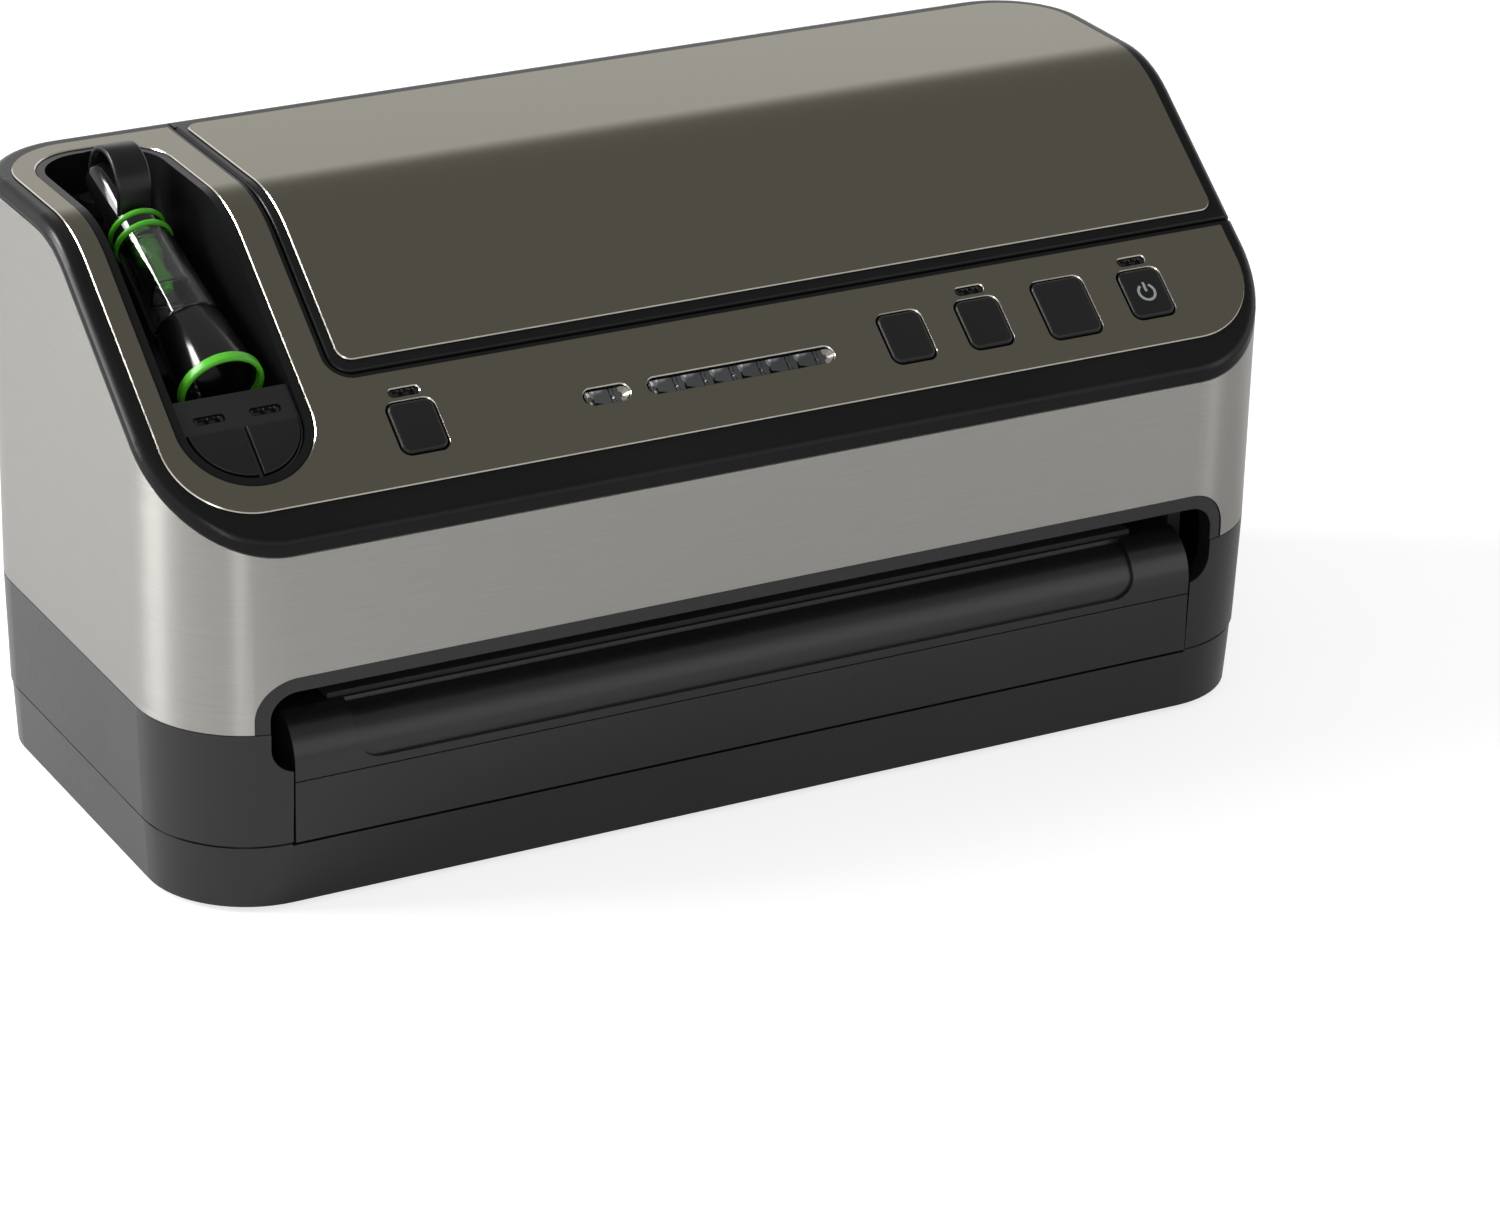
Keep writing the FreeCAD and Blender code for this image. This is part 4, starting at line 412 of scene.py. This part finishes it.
def dress_nodes():
    """Every CAD node takes the procedural material of its own slot, or the rim's."""
    for name, node in NODES.items():
        slots = [slot.material.name.split(".")[0] for slot in node.material_slots if slot.material]
        finish = "rim_black" if name in RIM_NODES else slots[0]
        node.data.materials.clear()
        node.data.materials.append(MATERIALS[finish])


MATERIALS = {name: moulded(name, **look) for name, look in MOULDED.items()}
MATERIALS.update({name: brushed(name, **look) for name, look in BRUSHED.items()})
brush_round(MATERIALS["brushed_steel"])
dress_nodes()


# The top as one unrolled sheet: (x, s), where s is t on the slope and runs on over the bend and the flat

def slope_point(x, t, height):
    y = CREST_Y - t * math.cos(SLOPE) - height * math.sin(SLOPE)
    z = CREST_Z - t * math.sin(SLOPE) + height * math.cos(SLOPE)
    return Vector((x, y, z)) * MM


def flat_s(y):
    """Sheet place of a depth on the flat part of the top."""
    return BEND_RUN - BEND_ARC - (y - BEND_Y)


def on_top(x, s, height):
    """Point over the top surface for a place on the unrolled sheet."""
    if s >= BEND_RUN:
        return slope_point(x, s, height)
    if s <= BEND_RUN - BEND_ARC:
        return Vector((x, BEND_Y + BEND_RUN - BEND_ARC - s, CREST_Z + height)) * MM
    angle = SLOPE - (BEND_RUN - s) / BEND_RADIUS
    radius = BEND_RADIUS + height
    return Vector((x, BEND_Y - radius * math.sin(angle), BEND_Z + radius * math.cos(angle))) * MM


def rounded(corners, radii, steps=12):
    """Closed outline through corners, each rounded by its own radius."""
    points = []
    count = len(corners)
    for i, radius in enumerate(radii):
        corner = Vector(corners[i])
        back = (Vector(corners[i - 1]) - corner).normalized()
        ahead = (Vector(corners[(i + 1) % count]) - corner).normalized()
        half = back.angle(ahead) / 2
        centre = corner + (back + ahead).normalized() * (radius / math.sin(half))
        start = corner + back * (radius / math.tan(half)) - centre
        sweep = math.pi - 2 * half
        if ahead.x * back.y - ahead.y * back.x < 0:
            sweep = -sweep
        for k in range(steps + 1):
            points.append(centre + Matrix.Rotation(sweep * k / steps, 2) @ start)
    return points


def pad(x, s, width, length, radius):
    left = x - width / 2
    right = x + width / 2
    upper = s - length / 2
    lower = s + length / 2
    return rounded([(left, upper), (right, upper), (right, lower), (left, lower)], [radius] * 4)


def finish_piece(name, mesh, body, nodes=()):
    """Puts a finished mesh in the scene, on its body and in place of its CAD nodes."""
    mesh.shade_smooth()
    mesh.set_sharp_from_angle(angle=SHARP)
    piece = bpy.data.objects.new(name, mesh)
    bpy.context.scene.collection.objects.link(piece)
    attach(piece, body)
    if nodes:
        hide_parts(*nodes)


def flat_mesh(name, outlines, low, high, bevel, bevel_steps):
    """Filled outlines, the first of them round the rest, with bevelled edges; drawn as (x, -s, height)."""
    curve = bpy.data.curves.new(name, "CURVE")
    curve.dimensions = "2D"
    curve.fill_mode = "BOTH"
    curve.extrude = (high - low) / 2 - bevel
    curve.bevel_depth = bevel
    curve.bevel_resolution = bevel_steps
    curve.offset = -bevel
    for points in outlines:
        spline = curve.splines.new("POLY")
        spline.points.add(len(points) - 1)
        for knot, place in zip(spline.points, points):
            knot.co = (place[0], -place[1], 0.0, 1.0)
        spline.use_cyclic_u = True
    holder = bpy.data.objects.new(name, curve)
    bpy.context.scene.collection.objects.link(holder)
    bpy.context.view_layer.update()
    ready = holder.evaluated_get(bpy.context.evaluated_depsgraph_get())
    mesh = bpy.data.meshes.new_from_object(ready)
    bpy.data.objects.remove(holder)
    bpy.data.curves.remove(curve)
    middle = (high + low) / 2
    for vertex in mesh.vertices:
        vertex.co.z += middle
    mesh.name = name
    return mesh


def cut_bend(work):
    """Cuts a flat sheet across where it will bend."""
    for k in range(BEND_CUTS + 1):
        s = BEND_RUN - BEND_ARC * k / BEND_CUTS
        everything = work.verts[:] + work.edges[:] + work.faces[:]
        bmesh.ops.bisect_plane(work, geom=everything, plane_co=(0, -s, 0), plane_no=(0, 1, 0))


def sheet_piece(
    name, outlines, low, high, bevel, body, slot, nodes=(), edge=None, bevel_steps=0, bend=False, finish=None,
):
    """Plate laid on the top surface; its upper bevel may have a finish of its own."""
    mesh = flat_mesh(name, outlines, low, high, bevel, bevel_steps)
    mesh.materials.clear()
    mesh.materials.append(MATERIALS[finish or slot])
    if edge:
        mesh.materials.append(MATERIALS[edge])
    for face in mesh.polygons:
        face.material_index = int(bool(edge) and BEVEL_LEAST_UP < face.normal.z < BEVEL_MOST_UP)
    work = bmesh.new()
    work.from_mesh(mesh)
    if bend:
        cut_bend(work)
    bmesh.ops.remove_doubles(work, verts=work.verts[:], dist=SHEET_WELD)
    for vertex in work.verts:
        vertex.co = on_top(vertex.co.x, -vertex.co.y, vertex.co.z)
    bmesh.ops.recalc_face_normals(work, faces=work.faces[:])
    work.to_mesh(mesh)
    work.free()
    finish_piece(name, mesh, body, nodes)


# Skins and buttons

def bay_outline():
    back = flat_s(BAY_BACK_Y)
    end = (BAY_RIGHT - BAY_LEFT) / 2 - HAIR
    corners = [(BAY_LEFT, back), (BAY_RIGHT, back), (BAY_RIGHT, BAY_FRONT_T), (BAY_LEFT, BAY_FRONT_T)]
    return rounded(corners, [BAY_BACK_ROUND, BAY_BACK_ROUND, end, end], steps=28)


def lens_hole(x, t, length, width):
    return pad(x, t, length + 2 * LENS_GAP, width + 2 * LENS_GAP, width / 2 + LENS_GAP - HAIR)


def fascia_outlines():
    back = flat_s(SKIN_BACK_Y)
    border = rounded(
        [
            (-SKIN_SIDE, back), (FASCIA_LID_X, back), (FASCIA_LID_X, FASCIA_LID_T),
            (SKIN_SIDE, FASCIA_LID_T), (SKIN_SIDE, FASCIA_FRONT_T), (-SKIN_SIDE, FASCIA_FRONT_T),
        ],
        [
            SKIN_BACK_ROUND, FASCIA_END_ROUND, FASCIA_LID_ROUND,
            FASCIA_END_ROUND, FASCIA_FRONT_ROUND, FASCIA_FRONT_ROUND,
        ],
        steps=20,
    )
    holes = [bay_outline()]
    more = 2 * BUTTON_GAP
    for x, width, length in BUTTONS.values():
        holes.append(pad(x, BUTTON_T, width + more, length + more, BUTTON_ROUND + BUTTON_GAP))
    for x in INDICATORS:
        holes.append(lens_hole(x, INDICATOR_T, INDICATOR_LENGTH, INDICATOR_WIDTH))
    for x, length, cells in LENSES.values():
        holes.append(lens_hole(x, LENS_T, length, LENS_WIDTH))
    return [border] + [hole[::-1] for hole in holes]


def lid_outline():
    back = flat_s(SKIN_BACK_Y)
    corners = [(LID_LEFT, back), (SKIN_SIDE, back), (SKIN_SIDE, LID_FRONT_T), (LID_LEFT, LID_FRONT_T)]
    return rounded(corners, [LID_ROUND, SKIN_BACK_ROUND, LID_ROUND, LID_ROUND], steps=20)


def add_skins():
    skins = (
        ("fascia_sheet", fascia_outlines(), "housing", "control_fascia"),
        ("lid_sheet", [lid_outline()], "lid", "lid_skin"),
    )
    for name, outlines, body, node in skins:
        sheet_piece(
            name, outlines, -SKIN_THICK, 0.0, SKIN_BEVEL, body, "bronze_skin", [node],
            edge="bronze_edge", bend=True,
        )


def add_buttons():
    for key, (x, width, length) in BUTTONS.items():
        outline = pad(x, BUTTON_T, width, length, BUTTON_ROUND)
        sheet_piece(
            key + "_cap", [outline], BUTTON_LOW, BUTTON_PROUD, BUTTON_BEVEL,
            key + "_key", "button_plastic", [key + "_button"], bevel_steps=5,
        )


def half_round(side, steps=30):
    """Outline of one of the two keys that share the bay's round end."""
    start = math.asin((BAY_KEY_TOP_T - BAY_KEY_CENTRE_T) / BAY_KEY_RADIUS)
    end = math.acos(BAY_KEY_GAP / BAY_KEY_RADIUS)
    points = []
    for k in range(steps + 1):
        angle = start + (end - start) * k / steps
        x = BAY_MIDDLE + side * BAY_KEY_RADIUS * math.cos(angle)
        points.append((x, BAY_KEY_CENTRE_T + BAY_KEY_RADIUS * math.sin(angle)))
    points.append((BAY_MIDDLE + side * BAY_KEY_GAP, BAY_KEY_TOP_T))
    return points


def add_bay_buttons():
    for side, key in ((-1, "accessory"), (1, "marinate")):
        sheet_piece(
            key + "_cap", [half_round(side)], BAY_KEY_LOW, BAY_KEY_HIGH, BAY_KEY_BEVEL,
            key + "_key", "button_plastic", [key + "_button"], bevel_steps=3,
        )


def add_power_mark(steps=44):
    """Ring with an opening and a bar, printed on the power key."""
    x = BUTTONS["power"][0]
    turns = [MARK_OPENING + (2 * math.pi - 2 * MARK_OPENING) * k / steps for k in range(steps + 1)]
    ring = [(x + MARK_OUTER * math.sin(a), BUTTON_T - MARK_OUTER * math.cos(a)) for a in turns]
    ring += [(x + MARK_INNER * math.sin(a), BUTTON_T - MARK_INNER * math.cos(a)) for a in reversed(turns)]
    bar = pad(x, BUTTON_T - MARK_BAR_RISE, MARK_BAR_WIDTH, MARK_BAR_LENGTH, MARK_BAR_ROUND)
    sheet_piece("power_mark", [ring, bar], MARK_LOW, MARK_HIGH, 0.0, "power_key", None, finish="key_print")


# Lenses: sunk bars of small reflector facets

def lens_floor(work, x, t, length, width, cells, top):
    """Adds a bar's faceted cells to a bmesh; gives their points, in lines across the bar."""
    straight = length - width
    stations = [(cell + along, depth) for cell in range(cells) for along, depth in FACETS[:-1]]
    stations.append((cells, FACETS[-1][1]))
    grid = []
    for along, depth in stations:
        place = x - straight / 2 + along * straight / cells
        line = []
        for across, share in LENS_ROWS:
            point = slope_point(place, t - width / 2 + across * width, top - depth * share)
            line.append(work.verts.new(point))
        grid.append(line)
    for left, right in zip(grid, grid[1:]):
        for k in range(len(LENS_ROWS) - 1):
            work.faces.new((left[k], right[k], right[k + 1], left[k + 1]))
    return grid


def lens_end(work, side, column, middle, t, radius, top, rise):
    """Adds a bar's round end, dished up by rise; gives its outer points."""
    rings = []
    for share, lift in ((LENS_FLOOR, 0.0), (1.0, rise)):
        ring = []
        for k in range(1, LENS_STEPS):
            angle = math.pi * k / LENS_STEPS
            out = middle + side * radius * share * math.sin(angle)
            across = t - side * radius * share * math.cos(angle)
            ring.append(work.verts.new(slope_point(out, across, top + lift * math.sin(angle))))
        rings.append(ring)
    column = column[::side]
    work.faces.new(column[1:4][::-1] + rings[0])
    near = [column[1]] + rings[0] + [column[3]]
    far = [column[0]] + rings[1] + [column[4]]
    for k in range(LENS_STEPS):
        wall = work.faces.new((near[k], near[k + 1], far[k + 1], far[k]))
        wall.material_index = int(rise > 0)
    return rings[1]


def lens_bar(work, x, t, length, width, cells, top, low, rise):
    """Adds one closed bar with round ends to a bmesh, laid on the slope."""
    radius = width / 2
    reach = (length - width) / 2
    grid = lens_floor(work, x, t, length, width, cells, top)
    border = [line[0] for line in grid]
    border += lens_end(work, 1, grid[-1], x + reach, t, radius, top, rise)
    border += [line[-1] for line in grid[::-1]]
    border += lens_end(work, -1, grid[0], x - reach, t, radius, top, rise)
    origin = slope_point(0, 0, 0)
    up = slope_point(0, 0, 1) - origin
    skirt = []
    for knot in border:
        height = (knot.co - origin).dot(up) / up.length_squared
        skirt.append(work.verts.new(knot.co + up * (low - height)))
    count = len(border)
    for k in range(count):
        after = (k + 1) % count
        work.faces.new((border[k], border[after], skirt[after], skirt[k]))
    work.faces.new(skirt[::-1])


def lens_piece(name, bars, node, finishes):
    mesh = bpy.data.meshes.new(name)
    work = bmesh.new()
    for bar in bars:
        lens_bar(work, *bar)
    bmesh.ops.recalc_face_normals(work, faces=work.faces[:])
    work.to_mesh(mesh)
    work.free()
    for finish in finishes:
        mesh.materials.append(MATERIALS[finish])
    finish_piece(name, mesh, "housing", [node])


def add_lenses():
    for name, (x, length, cells) in LENSES.items():
        bar = (x, LENS_T, length, LENS_WIDTH, cells, LENS_EDGE - LENS_DISH, LENS_LOW, LENS_DISH)
        lens_piece(name + "_facets", [bar], name, ["lens_facets", "bronze_edge"])
    spots = [(x, INDICATOR_T, 0.0) for x in INDICATORS]
    for side in (-1, 1):
        spots.append((BAY_MIDDLE + side * BAY_INDICATOR_SIDE, BAY_INDICATOR_T, BAY_INDICATOR_DROP))
    bars = []
    for x, t, drop in spots:
        bars.append((
            x, t, INDICATOR_LENGTH, INDICATOR_WIDTH, INDICATOR_CELLS,
            INDICATOR_TOP - drop, LENS_LOW - drop, INDICATOR_DISH,
        ))
    lens_piece("indicator_facets", bars, "indicator_lenses", ["lens_dark"])


add_skins()
add_buttons()
add_bay_buttons()
add_lenses()
add_power_mark()


# Handheld sealer

def hand_radius(distance):
    return HAND_RADIUS - HAND_TAPER * distance / HAND_LENGTH


def round_section(angle):
    return 1.0


def square_section(angle):
    """Rounded square with the same width as the circle."""
    power = POCKET_SQUARENESS
    return (abs(math.cos(angle)) ** power + abs(math.sin(angle)) ** power) ** (-1 / power)


def turn(work, profile, section=round_section, steps=96):
    """Adds a closed (distance, radius) profile, turned about the axis, to a bmesh."""
    lines = []
    for k in range(steps):
        angle = 2 * math.pi * k / steps
        out = (HAND_SIDE * math.cos(angle) + HAND_UP * math.sin(angle)) * section(angle)
        line = []
        for distance, radius in profile:
            line.append(work.verts.new((HAND_MOUTH + HAND_AXIS * distance + out * radius) * MM))
        lines.append(line)
    count = len(profile)
    for k in range(steps):
        near = lines[k]
        far = lines[(k + 1) % steps]
        for i in range(count):
            after = (i + 1) % count
            if profile[i][1] == 0 and profile[after][1] == 0:
                continue
            work.faces.new((near[i], near[after], far[after], far[i]))


def hand_piece(name, work, slots, node):
    """Closes a bmesh of turned parts into a piece of the handheld."""
    bmesh.ops.remove_doubles(work, verts=work.verts[:], dist=HAND_WELD)
    bmesh.ops.recalc_face_normals(work, faces=work.faces[:])
    mesh = bpy.data.meshes.new(name)
    work.to_mesh(mesh)
    work.free()
    for slot in slots:
        mesh.materials.append(MATERIALS[slot])
    finish_piece(name, mesh, "handheld", [node])


def band(start, width, inner, outer, edge):
    corners = [(start, inner), (start + width, inner), (start + width, outer), (start, outer)]
    return rounded(corners, [edge] * 4, steps=6)


def add_mouth():
    work = bmesh.new()
    turn(work, band(0.0, NOZZLE_START, MOUTH_INNER, MOUTH_OUTER, MOUTH_EDGE))
    hand_piece("mouth_ring", work, ["green_plastic"], "nozzle_ring")
    work = bmesh.new()
    start = hand_radius(NOZZLE_START)
    end = hand_radius(NOZZLE_END)
    turn(work, [
        (NOZZLE_START, start - CUP_WALL), (NOZZLE_START, start),
        (NOZZLE_END - 2 * NOZZLE_GROOVE_WIDTH, end + NOZZLE_SWELL),
        (NOZZLE_END - NOZZLE_GROOVE_WIDTH, end - NOZZLE_GROOVE),
        (NOZZLE_END, end - NOZZLE_GROOVE), (NOZZLE_END, end - CUP_WALL),
    ])
    hand_piece("nozzle_shell", work, ["gloss_black"], "reservoir_nozzle")


def add_cup():
    """Clear reservoir with a lip on the nozzle, and a square pocket round its valve."""
    work = bmesh.new()
    low = hand_radius(NOZZLE_END)
    top = hand_radius(CUP_END)
    inside = CUP_END - CUP_WALL
    turn(work, [
        (NOZZLE_END, low - CUP_WALL), (NOZZLE_END, low + CUP_LIP_FOOT),
        (NOZZLE_END + CUP_LIP_EDGE, low + CUP_LIP),
        (NOZZLE_END + CUP_LIP_WIDTH - CUP_LIP_EDGE, low + CUP_LIP),
        (NOZZLE_END + CUP_LIP_WIDTH, low - CUP_LIP_SINK), (CUP_END - CUP_ROUND, top + CUP_SWELL),
        (CUP_END, top - CUP_ROUND), (CUP_END, CUP_BORE), (inside, CUP_BORE),
        (inside, hand_radius(inside) - CUP_WALL),
    ])
    pocket = [(inside - POCKET_CLEARANCE, radius) for radius in POCKET_TOP_RADII]
    turn(work, POCKET_BELL + pocket, square_section)
    hand_piece("reservoir_tube", work, ["clear_plastic"], "reservoir_cup")
    work = bmesh.new()
    turn(work, VALVE_PROFILE)
    hand_piece("valve_stem", work, ["green_plastic"], "reservoir_valve")


def strap_path():
    """Middle line of the strap, as (y, z) from its centre."""
    path = [(-STRAP_RADIUS, z) for z in STRAP_FRONT_ENDS]
    for k in range(STRAP_STEPS + 1):
        angle = math.pi - math.pi * k / STRAP_STEPS
        path.append((STRAP_RADIUS * math.cos(angle), STRAP_RADIUS * math.sin(angle)))
    return path + [(STRAP_RADIUS, z) for z in STRAP_BACK_ENDS]


def add_strap(work):
    """Flat strap bent into a loop over the handle's neck; gives its faces."""
    wide = STRAP_HALF_WIDTH
    thick = STRAP_HALF_THICK
    corners = [(-wide, -thick), (wide, -thick), (wide, thick), (-wide, thick)]
    section = rounded(corners, [STRAP_EDGE] * 4, steps=5)
    path = strap_path()
    lines = []
    for i, (y, z) in enumerate(path):
        before = path[max(i - 1, 0)]
        after = path[min(i + 1, len(path) - 1)]
        along = Vector((0.0, after[0] - before[0], after[1] - before[1])).normalized()
        out = HAND_SIDE.cross(along)
        middle = STRAP_CENTRE + Vector((0.0, y, z))
        lines.append([work.verts.new((middle + HAND_SIDE * u + out * v) * MM) for u, v in section])
    faces = [work.faces.new(lines[0][::-1]), work.faces.new(lines[-1])]
    count = len(section)
    for near, far in zip(lines, lines[1:]):
        for k in range(count):
            after = (k + 1) % count
            faces.append(work.faces.new((near[k], near[after], far[after], far[k])))
    return faces


def add_handle():
    work = bmesh.new()
    for start in NECK_RINGS:
        outer = hand_radius(start) + NECK_RING_PROUD
        turn(work, band(start, NECK_RING_WIDTH, outer - NECK_RING_DEPTH, outer, NECK_RING_EDGE))
    hand_piece("neck_ring_pair", work, ["green_plastic"], "neck_rings")
    work = bmesh.new()
    radius = hand_radius(COLLAR_PLACE)
    collar = [(distance, radius - drop) for distance, drop in COLLAR_DROPS]
    turn(work, COLLAR_STUB + collar + NECK_PROFILE)
    for face in add_strap(work):
        face.material_index = 1
    hand_piece("handle_body", work, ["gloss_black", "button_plastic"], "handheld_handle")


add_mouth()
add_cup()
add_handle()


# Camera, light and floor

def add_camera():
    data = bpy.data.cameras.new("camera")
    data.sensor_width = CAMERA_SENSOR
    data.lens = CAMERA_LENS
    camera = bpy.data.objects.new("camera", data)
    ahead = CAMERA_AHEAD.normalized()
    side = ahead.cross(Vector((0, 0, 1))).normalized()
    up = side.cross(ahead)
    right = side * math.cos(CAMERA_ROLL) + up * math.sin(CAMERA_ROLL)
    top = up * math.cos(CAMERA_ROLL) - side * math.sin(CAMERA_ROLL)
    place = Matrix((right, top, -ahead)).transposed().to_4x4()
    place.translation = CAMERA_PLACE
    camera.matrix_world = place
    bpy.context.scene.collection.objects.link(camera)
    bpy.context.scene.camera = camera


def add_lamps():
    for name, (place, target, size, power) in LAMPS.items():
        data = bpy.data.lights.new(name, "AREA")
        data.shape = "RECTANGLE"
        data.size, data.size_y = size
        data.energy = power
        lamp = bpy.data.objects.new(name, data)
        lamp.location = place
        lamp.rotation_euler = (Vector(target) - Vector(place)).to_track_quat("-Z", "Y").to_euler()
        bpy.context.scene.collection.objects.link(lamp)


def seen_rays(owner):
    """Gives the light path, and 1 for rays that come straight, mirrored or through clear plastic."""
    path = add_node(owner, "ShaderNodeLightPath")
    mirrored = add_node(owner, "ShaderNodeMath", operation="MAXIMUM")
    link(owner, path, "Is Camera Ray", mirrored, 0)
    link(owner, path, "Is Glossy Ray", mirrored, 1)
    seen = add_node(owner, "ShaderNodeMath", operation="MAXIMUM")
    link(owner, mirrored, 0, seen, 0)
    link(owner, path, "Is Transmission Ray", seen, 1)
    return path, seen


def add_world():
    world = bpy.data.worlds.new("studio")
    world.use_nodes = True
    bpy.context.scene.world = world
    soft = world.node_tree.nodes["Background"]
    soft.inputs["Color"].default_value = WHITE
    soft.inputs["Strength"].default_value = SKY_LIGHT
    coords = add_node(world, "ShaderNodeTexCoord")
    split = add_node(world, "ShaderNodeSeparateXYZ")
    link(world, coords, "Generated", split, 0)
    ramp = add_node(world, "ShaderNodeValToRGB")
    low, high = ramp.color_ramp.elements
    low.position = SKY_WHITE_Z
    low.color = WHITE
    high.position = SKY_DIM_Z
    high.color = SKY_DIM
    link(world, split, "Z", ramp, "Fac")
    path, seen = seen_rays(world)
    shown = add_node(world, "ShaderNodeMixRGB", Color2=WHITE)
    link(world, path, "Is Camera Ray", shown, "Fac")
    link(world, ramp, "Color", shown, "Color1")
    bright = add_node(world, "ShaderNodeBackground")
    link(world, shown, "Color", bright, "Color")
    mix = add_node(world, "ShaderNodeMixShader")
    link(world, seen, 0, mix, "Fac")
    link(world, soft, 0, mix, 1)
    link(world, bright, 0, mix, 2)
    link(world, mix, 0, world.node_tree.nodes["World Output"], "Surface")


def add_floor():
    mesh = bpy.data.meshes.new("floor")
    half = FLOOR_HALF
    corners = [(-half, -half, 0), (half, -half, 0), (half, half, 0), (-half, half, 0)]
    mesh.from_pydata(corners, [], [(0, 1, 2, 3)])
    floor = bpy.data.objects.new("floor", mesh)
    bpy.context.scene.collection.objects.link(floor)
    material = new_material(
        "floor", FLOOR_COLOUR, FLOOR_ROUGHNESS, Specular_IOR_Level=0.0, Emission_Color=WHITE,
    )
    path, seen = seen_rays(material)
    shown = add_node(material, "ShaderNodeMath", operation="MULTIPLY")
    shown.inputs[1].default_value = FLOOR_GLOW
    link(material, seen, 0, shown, 0)
    glow = add_node(material, "ShaderNodeMath", operation="MULTIPLY_ADD")
    glow.inputs[1].default_value = FLOOR_CAMERA_GLOW
    link(material, path, "Is Camera Ray", glow, 0)
    link(material, shown, 0, glow, 2)
    link(material, glow, 0, shader_of(material), "Emission Strength")
    mesh.materials.append(material)


add_camera()
add_world()
add_floor()
add_lamps()

scene = bpy.context.scene
scene.view_settings.view_transform = "Standard"
